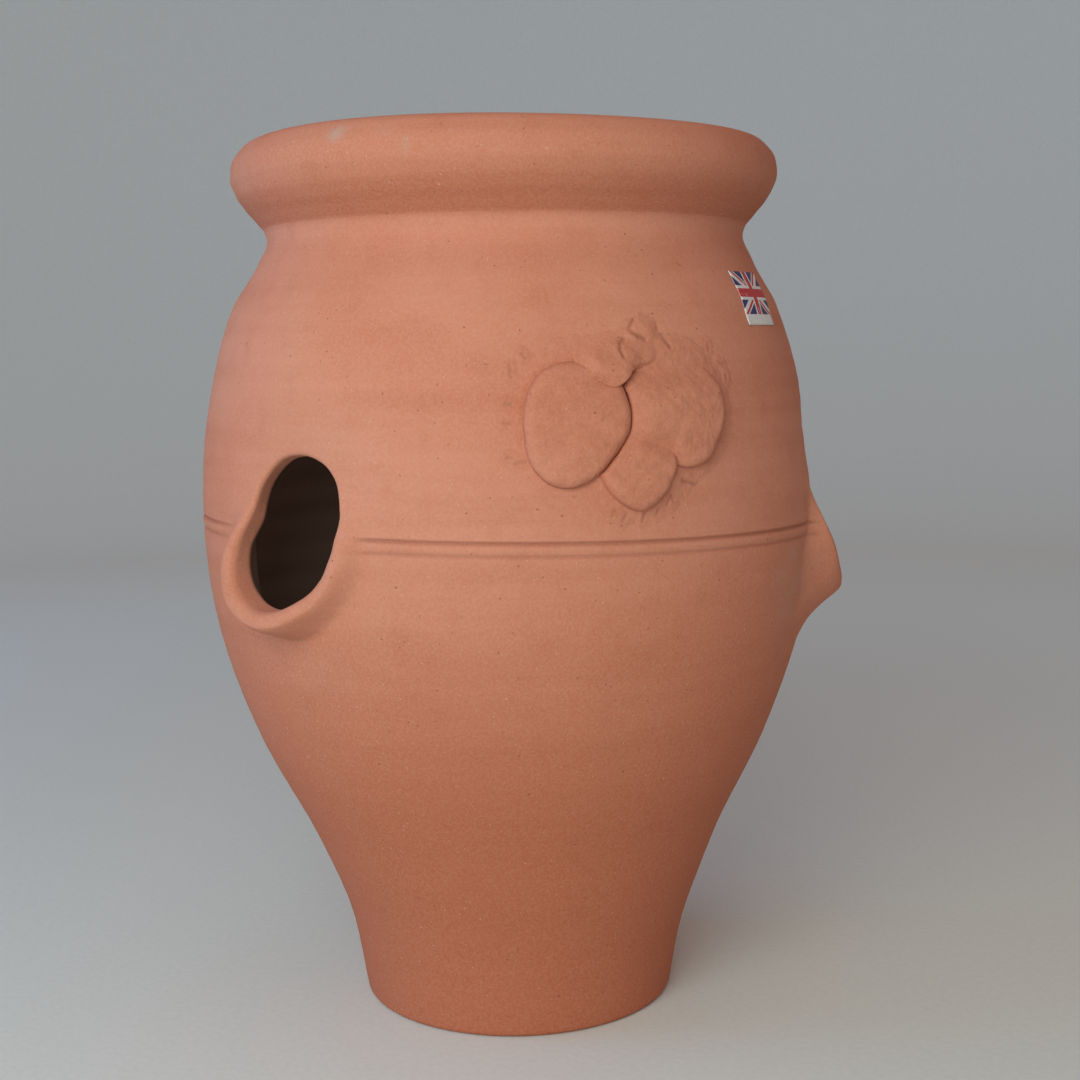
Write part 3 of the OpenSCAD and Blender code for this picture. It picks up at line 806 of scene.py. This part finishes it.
# How deep the edges of the sprig's pieces go into what lies under them
SUNK = -0.7
# Ovals of [s, z, width, height] from the middle of the sprig
LEAF_LOBES = [(-21.5, 5.5, 61, 59), (21.5, 5.5, 61, 59), (1, -16.4, 52, 47), (4, 31, 16, 20)]
# Outlines of [s, z] points, in turn from the right. The left strawberry lies over the other two, and
# the right one over the top of the lower one
LEFT_OUTLINE = [
    (-1.7, 3), (-2.4, 9), (-4.3, 14.5), (-8, 18.5), (-13, 21.3), (-19, 23.4), (-26.8, 24.3), (-32, 23.6),
    (-36.2, 22), (-40.3, 19.2), (-43.7, 14.6), (-45.8, 8.7), (-46.4, 2.5), (-46.1, -4.2), (-45.5, -10.2),
    (-44.2, -15), (-41.5, -18.8), (-38, -22.3), (-34, -24.2), (-29.3, -25), (-24.6, -24), (-19.8, -21.8),
    (-15.6, -18.7), (-11.4, -14.2), (-7.4, -9.7), (-4.1, -5.2), (-2.1, -0.8)]
RIGHT_OUTLINE = [
    (44.8, 3), (44.6, 11), (42.8, 16.2), (38.6, 20.5), (32, 23), (24, 23.8), (15, 23.5), (6, 22), (-2, 18),
    (-5, 10), (-5, 2), (-5, -6), (-1.5, -9.5), (2.7, -10.7), (8.2, -12.3), (12.9, -14.4), (17.6, -17.8),
    (21, -18.7), (25, -18.7), (30.3, -17.5), (34.8, -14.6), (38.2, -10), (40.9, -5.4), (43.6, -0.5)]
LOWER_OUTLINE = [
    (17.6, -14), (15, -8), (9, -4), (0, -1), (-7, -4), (-15, -13), (-17, -19), (-15.3, -23), (-13.2, -26.4),
    (-9, -30.6), (-4, -33.8), (0.5, -35), (5.2, -33.2), (10.3, -29.2), (14.2, -23.9), (16.9, -18.4)]
SEPAL_OUTLINE = [
    (17.5, 25), (18.2, 29), (14, 32.5), (5, 35.5), (-4, 35.6), (-12, 34.8), (-20, 32.6), (-25, 27),
    (-23.5, 21.3), (-20, 18.2), (-16.1, 16.1), (-9.4, 13.4), (-6, 14.8), (-3.2, 16.7), (-0.4, 19.7),
    (2.8, 21.2), (7.5, 21.8), (12.3, 22.6)]
STALK_OUTLINE = [
    (18, 36), (16, 40.5), (11.5, 43.5), (8, 43), (5.6, 40.6), (3.7, 38.4), (2, 36.4), (3.5, 32.5), (7, 30.5),
    (12, 29.8), (17.5, 31.5)]
# Short strokes that were cut or pressed with a tool: the leaves' veins and teeth, and the stalk's sides
CREASES = [
    [(6, 41.4), (4, 39), (2.2, 36.8), (3.7, 35.1), (9.3, 32.4)],
    [(-1, 32.5), (-3.2, 31.3), (-4.3, 28.7), (-3.8, 25.9)],
    [(17.6, 38.1), (17.9, 35), (19, 32.2), (21.7, 29.3)],
    [(20.5, -23.8), (27.3, -25.7), (34.7, -24.2), (37, -22.8)],
]
TICKS = [
    [(43.7, 30), (43.5, 27.6)], [(48.5, 22.7), (50.8, 21.9)], [(51.6, 17.8), (51.3, 15.4)],
    [(-10.5, -33.9), (-11.6, -35.8)], [(-5.5, -35.7), (-7.2, -37.9)], [(2.6, -35.7), (1.2, -38.7)],
    [(8.8, -34.5), (7.2, -36.7)], [(13.5, -30.8), (12.5, -32.7)], [(14.5, -29.3), (15.6, -31.2)],
    [(-49.7, -14.7), (-45.8, -13.9)], [(-53.2, -12.4), (-51.2, -12.4)], [(-51.4, 22.4), (-51, 18.6)],
    [(-46.5, 27.5), (-44.5, 25.6)], [(-53.5, 8.6), (-51.2, 8)], [(-54, 0.8), (-51.6, 0.8)],
]


def on_wall(s, z, h):
    """Points on the unrolled wall about the middle of the sprig, h out from the skin."""
    az = SPRIG_AZ + np.degrees(s / BELLY_R)
    z = SPRIG_Z + z
    return place(az, wall_r(z) + surface(az, z) + h, z)


def within_oval(oval, s, z):
    """About how far points lie inside an oval, in mm."""
    middle_s, middle_z, wide, tall = oval
    a = np.arctan2(z - middle_z, s - middle_s)
    reach = 1 / np.sqrt((2 * np.cos(a) / wide) ** 2 + (2 * np.sin(a) / tall) ** 2)
    return reach - np.hypot(s - middle_s, z - middle_z)


def middle_of(outline):
    corners = np.array(outline, float)
    return (corners.max(axis=0) + corners.min(axis=0)) / 2


def beyond(outline, s, z):
    """How far points lie outside an outline, in mm along the line from its middle."""
    middle = middle_of(outline)
    a = np.arctan2(z - middle[1], s - middle[0])
    return np.hypot(s - middle[0], z - middle[1]) - outline_reach(outline, middle, a)


def facing(a, middle, half):
    """1 in the direction middle and 0 beyond half, all in degrees but a, with a soft edge."""
    return 1 - smooth((away_from(a, middle) - half * 0.6) / (half * 0.8))


def distance_to(s, z, paths):
    """Distance from points to the nearest of some paths."""
    nearest = np.full(np.broadcast(s, z).shape, 1e3)
    for path in paths:
        for (s0, z0), (s1, z1) in zip(path, path[1:]):
            run = (s1 - s0) ** 2 + (z1 - z0) ** 2
            t = np.clip(((s - s0) * (s1 - s0) + (z - z0) * (z1 - z0)) / run, 0, 1)
            nearest = np.minimum(nearest, np.hypot(s - s0 - t * (s1 - s0), z - z0 - t * (z1 - z0)))
    return nearest


def strokes(s, z, paths, depth, width):
    """How deep a tool's strokes are, or how dark their painted shade is, at points on or beside them."""
    return depth * np.exp(-((distance_to(s, z, paths) / width) ** 2))


def rolled(edge, width):
    """Share of the full height at a distance inside an edge that is rounded over that width."""
    return np.sqrt(1 - (1 - np.clip(edge / width, 0, 1)) ** 2)


def lumps(s, z, seed):
    """The uneven surface of clay that was pressed in a mould and patted on."""
    return 0.26 * field(s / 9, z, seed, 9, 3, 13) + 0.08 * field(s / 4, z, seed + 30, 40, 4, 7)


# The sprig's marks hold only the painted shade in its creases and at its edges
def sprig_marks(groove):
    return {"inside": groove * 0, "bloom": groove * 0, "groove": groove}


# Depth, or darkness of the painted shade, and width of the strokes
CREASE_CUT = (0.9, 0.8)
CREASE_SHADE = (0.9, 0.7)
TICK_CUT = (0.7, 0.6)
TICK_SHADE = (0.55, 0.65)
STALK_CUT = (0.7, 0.8)
SEPAL_CUT = (0.7, 1.0)
SPOKES = 180
spokes = np.arange(SPOKES) * 2 * math.pi / SPOKES
# A pad's rings of points, as shares of its reach, on its underside and then inwards on its top
LOW_SHARES = [0.33, 0.66, 1]
EDGE_STEPS = [0, 0.004, 0.01, 0.018, 0.03, 0.045, 0.065, 0.09]
TOP_SHARES = 1 - np.concatenate([EDGE_STEPS, np.linspace(0.12, 0.95, 26)])
# Width of the painted shade in a thin ring at a pad's edge
EDGE_SHADE_W = 0.5


def pad(node, middle, reach, top, edge_shade):
    """Adds a closed pad on the wall. reach is the distance to its edge along each spoke, and
    top(share, edge distance, direction, s, z) its height. Its edge goes down into what lies under it."""
    shares = np.concatenate([LOW_SHARES, TOP_SHARES])
    spread = shares[:, None] * reach
    s, z = out_from(middle, spread, spokes)
    lows = len(LOW_SHARES)
    rings = [on_wall(s[i], z[i], SUNK) for i in range(lows)]
    for i in range(lows, len(shares)):
        k = np.full(SPOKES, shares[i])
        rings.append(on_wall(s[i], z[i], top(k, (1 - k) * reach, spokes, s[i], z[i])))
    tip_s, tip_z = np.array(middle, float)[:, None]
    tip = on_wall(tip_s, tip_z, top(np.zeros(1), reach[:1], spokes[:1], tip_s, tip_z))
    points = np.concatenate(rings + [tip, on_wall(tip_s, tip_z, SUNK)])
    quads = ring_quads(len(rings), SPOKES, close=False)
    k = np.arange(SPOKES)
    following = (k + 1) % SPOKES
    last = (len(rings) - 1) * SPOKES
    fan = np.stack([last + k, last + following, np.full(SPOKES, len(points) - 2)], axis=1)
    floor = np.stack([following, k, np.full(SPOKES, len(points) - 1)], axis=1)
    # Painted shade in a thin ring at the pad's edge and in the creases
    dark = (reach - spread < EDGE_SHADE_W) * edge_shade
    dark[:lows - 1] = 0
    dark = np.maximum(dark, strokes(s, z, CREASES, *CREASE_CUT))
    marks = sprig_marks(np.concatenate([dark.ravel(), [0, 0]]))
    add_piece(node, "moulded", points, [*quads, *fan, *floor], [], marks, sprig_clay)


BERRY_GAP = 0.15
# Share of its height that the left strawberry has where it touches the other two
TOUCHING = 0.45
# Share of its height that a strawberry loses from its middle to its edge
BERRY_DOME = 0.14
# Where a strawberry lies lower: by what share, over how far, how much tighter its edge is rolled, and
# how high that edge stands
SADDLE_DROP, SADDLE_RUN, SADDLE_TIGHT, SADDLE_STAND = 0.42, 12, 2.6, 0.35
FADE_RUN = 13
# Height at which the edges of the strawberries and the sepals start
PAD_FOOT = 0.2


def clear_of_left(middle, reach):
    """The reach along each spoke, cut back to a fine gap beside the left strawberry."""
    t = np.linspace(0, 1, 240)[:, None] * reach
    free = beyond(LEFT_OUTLINE, *out_from(middle, t, spokes)) > BERRY_GAP
    first = np.where(free.all(axis=0), len(t) - 1, np.argmin(free, axis=0))
    return t[first, np.arange(SPOKES)]


def build_berry(name, outline, seed, roll, top_side, saddle_side, edge_shade):
    """Adds a strawberry: flat and lumpy, rounded over at its edge. top_side is [direction, half width,
    start], where it fades softly from a share of its height, and saddle_side [direction, half width],
    where it lies lower. The left one keeps some height where it touches the others, and they end there."""
    middle = middle_of(outline)
    whole = outline_reach(outline, middle, spokes)
    reach = whole if name == "berry_left" else clear_of_left(middle, whole)

    def top(k, edge, a, s, z):
        crisp_edge = rolled(edge, 1.0)
        edge = edge + whole[:len(edge)] - reach[:len(edge)]
        soft, saddle = (facing(a, *side[:2]) if side else 0 * a for side in (top_side, saddle_side))
        saddle = saddle * (1 - soft)
        full = LEAF_T + (BERRY_RISE + lumps(s, z, seed)) * (1 - BERRY_DOME * k**2)
        full = full * (1 - SADDLE_DROP * saddle * (1 - smooth(edge / SADDLE_RUN)))
        crisp = rolled(edge, roll - SADDLE_TIGHT * saddle)
        crisp = crisp + saddle * SADDLE_STAND * (1 - crisp)
        if name == "berry_left":
            crisp = np.maximum(crisp, TOUCHING * facing(a, 335, 55))
        start = top_side[2] if top_side else 0
        share = crisp * (1 - soft) + (start + (1 - start) * smooth(edge / FADE_RUN)) * soft
        return PAD_FOOT + (full - PAD_FOOT) * share * (0.7 + 0.3 * crisp_edge)

    # Painted shade at the edge: darkest on the lower right, away from the light, and none on the softly lit
    # top side
    dark = edge_shade * (0.5 + 0.5 * facing(spokes, 310, 80))
    if top_side:
        dark = dark * (1 - facing(spokes, top_side[0], top_side[1] * 1.3))
    pad(name, middle, reach, top, dark)


LEAF_STEP = 0.6
# The leaves' edge rises over this length, and its lobes run together over the next
LEAF_RUN = 9
LOBE_BLEND = 3.0
# Sides where the edge is crisp and toothed: how much, direction and half width
CRISP_SIDES = [(0.35, 32, 30), (0.35, 282, 42), (0.3, 122, 24), (0.15, 190, 40)]
TEETH = 36
TOOTH = 2.0
# Depth and width of the dip round the left strawberry
MOAT, MOAT_W = 0.5, 1.0
# The strokes of the tool lie in a low swelling of clay, and stay above the wall
TICK_RISE, TICK_SPREAD, TICK_SINK = 0.35, 3, 12
STROKE_BOTTOM = 0.06


def leaf_height(s, z):
    """Height of the leaves over the wall, below 0 outside them."""
    a = np.arctan2(z, s)
    inside = np.array([within_oval(oval, s, z) for oval in LEAF_LOBES])
    within = LOBE_BLEND * np.log(np.sum(np.exp(inside / LOBE_BLEND), axis=0))
    crisp = np.max([share * facing(a, middle, half) for share, middle, half in CRISP_SIDES], axis=0)
    tooth = np.abs(np.sin(a * TEETH / 2 + 0.6 * np.sin(3 * a)))
    within = within + TOOTH * (tooth - 0.6) * crisp
    soft = smooth(within / LEAF_RUN)
    top = LEAF_T * (soft * (1 - crisp) + (0.3 + 0.7 * soft) * rolled(within, 2) * crisp)
    top = top + 0.5 * lumps(s, z, 14) * soft
    moat = MOAT * np.exp(-((beyond(LEFT_OUTLINE, s, z) / MOAT_W) ** 2))
    top = np.where(within > 0, top, np.minimum(top, 0) + within * 0.5) - moat
    away = distance_to(s, z, TICKS)
    top = np.maximum(top, TICK_RISE * np.exp(-((away / TICK_SPREAD) ** 2)) - (away / TICK_SINK) ** 2)
    cut = strokes(s, z, CREASES, *CREASE_CUT) + strokes(s, z, TICKS, *TICK_CUT)
    return np.maximum(top - cut, np.minimum(top, STROKE_BOTTOM))


def build_leaves():
    """The leaf pad, as a grid over the wall that is kept where it stands out of it."""
    s, z = np.meshgrid(np.arange(-60, 60, LEAF_STEP), np.arange(-46, 50, LEAF_STEP))
    h = leaf_height(s, z)
    deep = h > SUNK
    kept = deep[:-1, :-1] & deep[1:, :-1] & deep[:-1, 1:] & deep[1:, 1:]
    under = on_wall(s, z, np.full_like(h, SUNK - 0.3))
    points, skin, edge = thick_sheet(on_wall(s, z, h), under, kept, wrap=False)
    # Painted shade in the cut veins, the teeth and the stalk's sides
    dark = np.maximum(strokes(s, z, CREASES, *CREASE_SHADE), strokes(s, z, TICKS, *TICK_SHADE))
    marks = sprig_marks(np.concatenate([dark.ravel(), np.zeros(dark.size)]))
    add_piece("sprig_leaves", "moulded", points, [*skin, *edge], [], marks, sprig_clay)


# The sepals rise from the stalk's foot at SEPAL_TOP to the strawberries' tops, over this length
SEPAL_TOP = 34.5
SEPAL_RUN = 13.0
SEPAL_T = 0.6


def build_sepals():
    """The sepals lie over the tops of the strawberries and run up to the stalk."""
    middle = middle_of(SEPAL_OUTLINE)

    def top(k, edge, a, s, z):
        ramp = smooth((SEPAL_TOP - z) / SEPAL_RUN) * (1 - 0.75 * smooth((s + 5) / 13))
        height = LEAF_T + (BERRY_RISE * 0.95 + SEPAL_T) * ramp + 0.6 * lumps(s, z, 15)
        soft = 1 - facing(a, 262, 78)
        ends = rolled(edge, 1.0) * (1 - soft) + (1 - smooth((k - 0.55) / 0.45)) * soft
        return PAD_FOOT + (height - PAD_FOOT) * ends - strokes(s, z, CREASES, *SEPAL_CUT)

    reach = outline_reach(SEPAL_OUTLINE, middle, spokes)
    # Painted shade along the sepals' lower edge
    pad("sprig_sepals", middle, reach, top, 0.6 * facing(spokes, 280, 60))


STALK_RISE = 0.5


def build_stalk():
    middle = middle_of(STALK_OUTLINE)

    def top(k, edge, a, s, z):
        crisp = facing(a, 165, 55)
        rise = (1 - smooth(k)) * (1 - crisp) + rolled(edge, 1.6) * (1 - 0.5 * k) * crisp
        return 0.1 + (LEAF_T + STALK_RISE) * rise - strokes(s, z, CREASES, *STALK_CUT)

    pad("sprig_stalk", middle, outline_reach(STALK_OUTLINE, middle, spokes), top, 0 * spokes)


# ---- The paper label ----

LABEL_LOW = 314.8
LABEL_HIGH = 337.8
LABEL_W = 27.4
LABEL_AZ_LOW = 58.6
LABEL_AZ_HIGH = 59.9
PAPER_T = 0.35
# How far the sheet lies off the clay, wrinkles, and lifts at two of its corners
PAPER_GAP, WRINKLE_RISE, CORNER_LIFT = 0.05, 0.05, 0.5
FLAG_SHARE = 0.8

FLAG_RED = colour(196, 42, 50)
FLAG_BLUE = colour(38, 42, 104)
PAPER = colour(228, 228, 224)
FIBRE = colour(150, 140, 128)
PAPER_BUMP = 0.00006


def label_paper():
    """White paper with the traditional pattern of crossed red, white and blue bars, and a bare strip
    below it, drawn on the sheet's own coordinates."""
    m = Nodes("printed_paper", roughness=0.45, specular=0.4)
    uv = m.node("ShaderNodeUVMap", {}, uv_map="sheet").outputs[0]
    parts = m.node("ShaderNodeSeparateXYZ", {"Vector": uv}).outputs
    wide, high = LABEL_W, LABEL_HIGH - LABEL_LOW
    tall = high * FLAG_SHARE
    # x and y run from the middle of the pattern
    x = m.maths("MULTIPLY_ADD", parts["X"], wide, -wide / 2)
    y = m.maths("MULTIPLY_ADD", parts["Y"], high, tall / 2 - high)
    diagonal = math.hypot(wide, tall)

    def cross_distance(sign):
        """Distance from a diagonal of the pattern, which runs up to the right for sign 1."""
        across = m.maths("MULTIPLY", x, -sign * tall / diagonal)
        return m.maths("MULTIPLY_ADD", y, wide / diagonal, across)

    def within(distance, half):
        return m.maths("LESS_THAN", m.maths("ABSOLUTE", distance), half)

    thirtieth = tall / 30
    print_colour = FLAG_BLUE
    saltires = [cross_distance(1), cross_distance(-1)]
    for distance in saltires:
        print_colour = m.mix(within(distance, 3 * thirtieth), print_colour, PAPER)
    side = m.maths("SIGN", x)
    for distance, way in zip(saltires, (-1, 1)):
        # The red arms lie to one side of the white ones, and change sides at the middle
        shifted = m.maths("MULTIPLY_ADD", side, way * thirtieth, distance)
        print_colour = m.mix(within(shifted, thirtieth), print_colour, FLAG_RED)
    for half, ink in ((5 * thirtieth, PAPER), (3 * thirtieth, FLAG_RED)):
        print_colour = m.mix(m.maths("MAXIMUM", within(x, half), within(y, half)), print_colour, ink)
    strip = m.maths("LESS_THAN", parts["Y"], 1 - FLAG_SHARE)
    print_colour = m.mix(m.maths("MAXIMUM", strip, m.mark("bare")), print_colour, PAPER)
    fibres = m.noise(700, 3)
    scuffed = m.step(m.noise(420, 4), 0.6, 0.72, 0, 0.35)
    print_colour = m.mix(scuffed, print_colour, PAPER)
    print_colour = m.mix(m.step(fibres, 0.35, 0.8, 0, 0.12), print_colour, FIBRE)
    return m.finish(print_colour, m.step(fibres, 0.2, 0.8, 0.38, 0.55), fibres, PAPER_BUMP)


def build_label():
    across, up = np.linspace(-0.5, 0.5, 29), np.linspace(0, 1, 25)
    u, v = np.meshgrid(across, up)
    z = LABEL_LOW + v * (LABEL_HIGH - LABEL_LOW)
    az = LABEL_AZ_LOW + v * (LABEL_AZ_HIGH - LABEL_AZ_LOW) + np.degrees(u * LABEL_W / wall_r(z))
    corner = np.abs(2 * u) ** 6 * np.abs(2 * v - 1) ** 6
    lift = PAPER_GAP + CORNER_LIFT * corner * (0.5 + 0.5 * np.sign(u) * np.sign(v - 0.5))
    base = wall_r(z) + surface(az, z) + lift + WRINKLE_RISE * field(u * 3, v * 20, *WRINKLES)
    whole = np.ones((len(up) - 1, len(across) - 1), bool)
    points, skin, edge = thick_sheet(place(az, base + PAPER_T, z), place(az, base, z), whole, wrap=False)
    bare = {"bare": np.concatenate([np.zeros(u.size), np.ones(u.size)])}
    add_piece("paper_label", "printed", points, skin, edge, bare, label_paper(), "label_paper")
    obj = make_piece(made.pop())
    layer = obj.data.uv_layers.new(name="sheet")
    corners = np.zeros(len(obj.data.loops), int)
    obj.data.loops.foreach_get("vertex_index", corners)
    flat = np.stack([np.tile(u.ravel() + 0.5, 2), np.tile(v.ravel(), 2)], axis=1)
    layer.data.foreach_set("uv", flat[corners].astype(np.float32).ravel())


# ---- Build the jar ----

build_lower_wall()
add_wall("upper_wall", outer_wall[band_row:], inner_wall[band_row:], keep[band_row:])
build_rim()
for pocket, turn, seed in zip(POCKETS, POCKET_TURNS, (21, 22, 23)):
    build_pocket(pocket, turn, seed)
share_normals(made)
build_leaves()
build_berry("berry_left", LEFT_OUTLINE, 11, 4.6, None, None, 0.5)
build_berry("berry_right", RIGHT_OUTLINE, 12, 4.4, (92, 50, 0), (215, 60), 0.45)
build_berry("berry_lower", LOWER_OUTLINE, 13, 4.0, (84, 62, 0.5), None, 0.45)
build_sepals()
build_stalk()
for piece in made:
    make_piece(piece)
build_label()

# ---- Floor, light and camera ----

FLOOR_R = 1.7
BACKDROP_R = 2.6
BACKDROP_TOP = 3.2
STAGE_SIDES = 96
# Where the floor begins to be painted lighter, turning into the backdrop's tone where the lamps' light falls
# off, and where it has
PAINTED_LIGHT_RUN = (0.35, 1.3)
FLOOR_TONE = colour(229, 237, 231)
BACKDROP_TONE = colour(236, 254, 255)
WEAVE_TONE = colour(150, 150, 148)
WEAVE_BUMP = 0.0001


def stage_material(name, tone):
    """Pale matt board, painted lighter away from the jar where the lamps' light falls off, turning into the
    backdrop's tone.
    """
    m = Nodes(name, roughness=0.95, specular=0.1)
    weave = m.noise(300, 3)
    away = m.node("ShaderNodeVectorMath", {0: m.place((1, 1, 0))}, operation="LENGTH").outputs["Value"]
    base = m.mix(m.step(away, *PAINTED_LIGHT_RUN), tone, BACKDROP_TONE)
    base = m.mix(m.step(weave, 0.3, 0.7, 0, 0.06), base, WEAVE_TONE)
    return m.finish(base, m.step(weave, 0, 1, 0.9, 1.0), weave, WEAVE_BUMP)


def build_stage():
    """A pale floor that turns up into a backdrop, seen only by the camera beyond the floor."""
    tones = stage_material("pale_floor", FLOOR_TONE), stage_material("pale_backdrop", BACKDROP_TONE)
    bend = BACKDROP_R - FLOOR_R
    curve = [(FLOOR_R + bend * math.sin(t), bend * (1 - math.cos(t)))
             for t in np.linspace(0, 1, 24) ** 2 * math.pi / 2]
    profiles = [(0.001, 0), (FLOOR_R, 0)], curve + [(BACKDROP_R, BACKDROP_TOP)]
    a = np.arange(STAGE_SIDES) * 2 * math.pi / STAGE_SIDES
    for name, profile, tone in zip(("floor", "backdrop"), profiles, tones):
        points = [(r * math.sin(t), -r * math.cos(t), z) for r, z in profile for t in a]
        mesh = bpy.data.meshes.new(name)
        mesh.from_pydata(points, [], ring_quads(len(profile), STAGE_SIDES, close=False)[:, ::-1].tolist())
        mesh.shade_smooth()
        mesh.materials.append(tone)
        obj = add_object(name, mesh)
    # The lamps stand behind the backdrop, so only the camera sees it
    for ray in ("shadow", "diffuse", "glossy", "transmission"):
        setattr(obj, "visible_" + ray, False)


AIM = Vector((0, 0, 0.22))


def lamp(name, azimuth, elevation, distance, size, level, tint):
    """A square soft light at a distance from AIM. level is about how bright it makes white things there."""
    data = bpy.data.lights.new(name, "AREA")
    data.shape = "SQUARE"
    data.size = size
    data.energy = level * math.pi**2 * distance**2
    data.color = tint
    obj = add_object(name, data)
    a, e = math.radians(azimuth), math.radians(elevation)
    away = Vector((math.sin(a) * math.cos(e), -math.cos(a) * math.cos(e), math.sin(e)))
    obj.location = AIM + away * distance
    obj.rotation_mode = "QUATERNION"
    obj.rotation_quaternion = away.to_track_quat("Z", "Y")


ROOM_TINT = (1.0, 0.80, 0.76, 1)
ROOM_LEVEL = 0.30

build_stage()
lamp("key", -18, 20, 1.2, 0.8, 0.575, (0.92, 1.0, 0.975))
lamp("top", -20, 78, 2.0, 1.2, 0.03, (1.0, 1.0, 1.0))
lamp("window", -88, 14, 1.6, 0.9, 0.27, (0.22, 0.52, 1.0))
world = bpy.data.worlds.new("soft_room")
world.use_nodes = True
background = world.node_tree.nodes["Background"]
background.inputs["Color"].default_value = ROOM_TINT
background.inputs["Strength"].default_value = ROOM_LEVEL
scene.world = world

# The camera's focal length in mm, its place, and the directions that it looks in and has upwards
LENS = 54.28
EYE = Vector((0, -0.76966, 0.30929))
SIGHT = Vector((0.01808092, 0.99246292, -0.12120407))
UPRIGHT = Vector((0.01670014, 0.1209072, 0.99252333))
camera_data = bpy.data.cameras.new("camera")
camera_data.lens = LENS
camera_data.sensor_width = 36
camera_data.clip_start = 0.05
camera = add_object("camera", camera_data)
rightwards = SIGHT.cross(UPRIGHT).normalized()
upwards = rightwards.cross(SIGHT)
camera.matrix_world = Matrix.Translation(EYE) @ Matrix((rightwards, upwards, -SIGHT)).transposed().to_4x4()
scene.camera = camera
scene.view_settings.view_transform = "Standard"
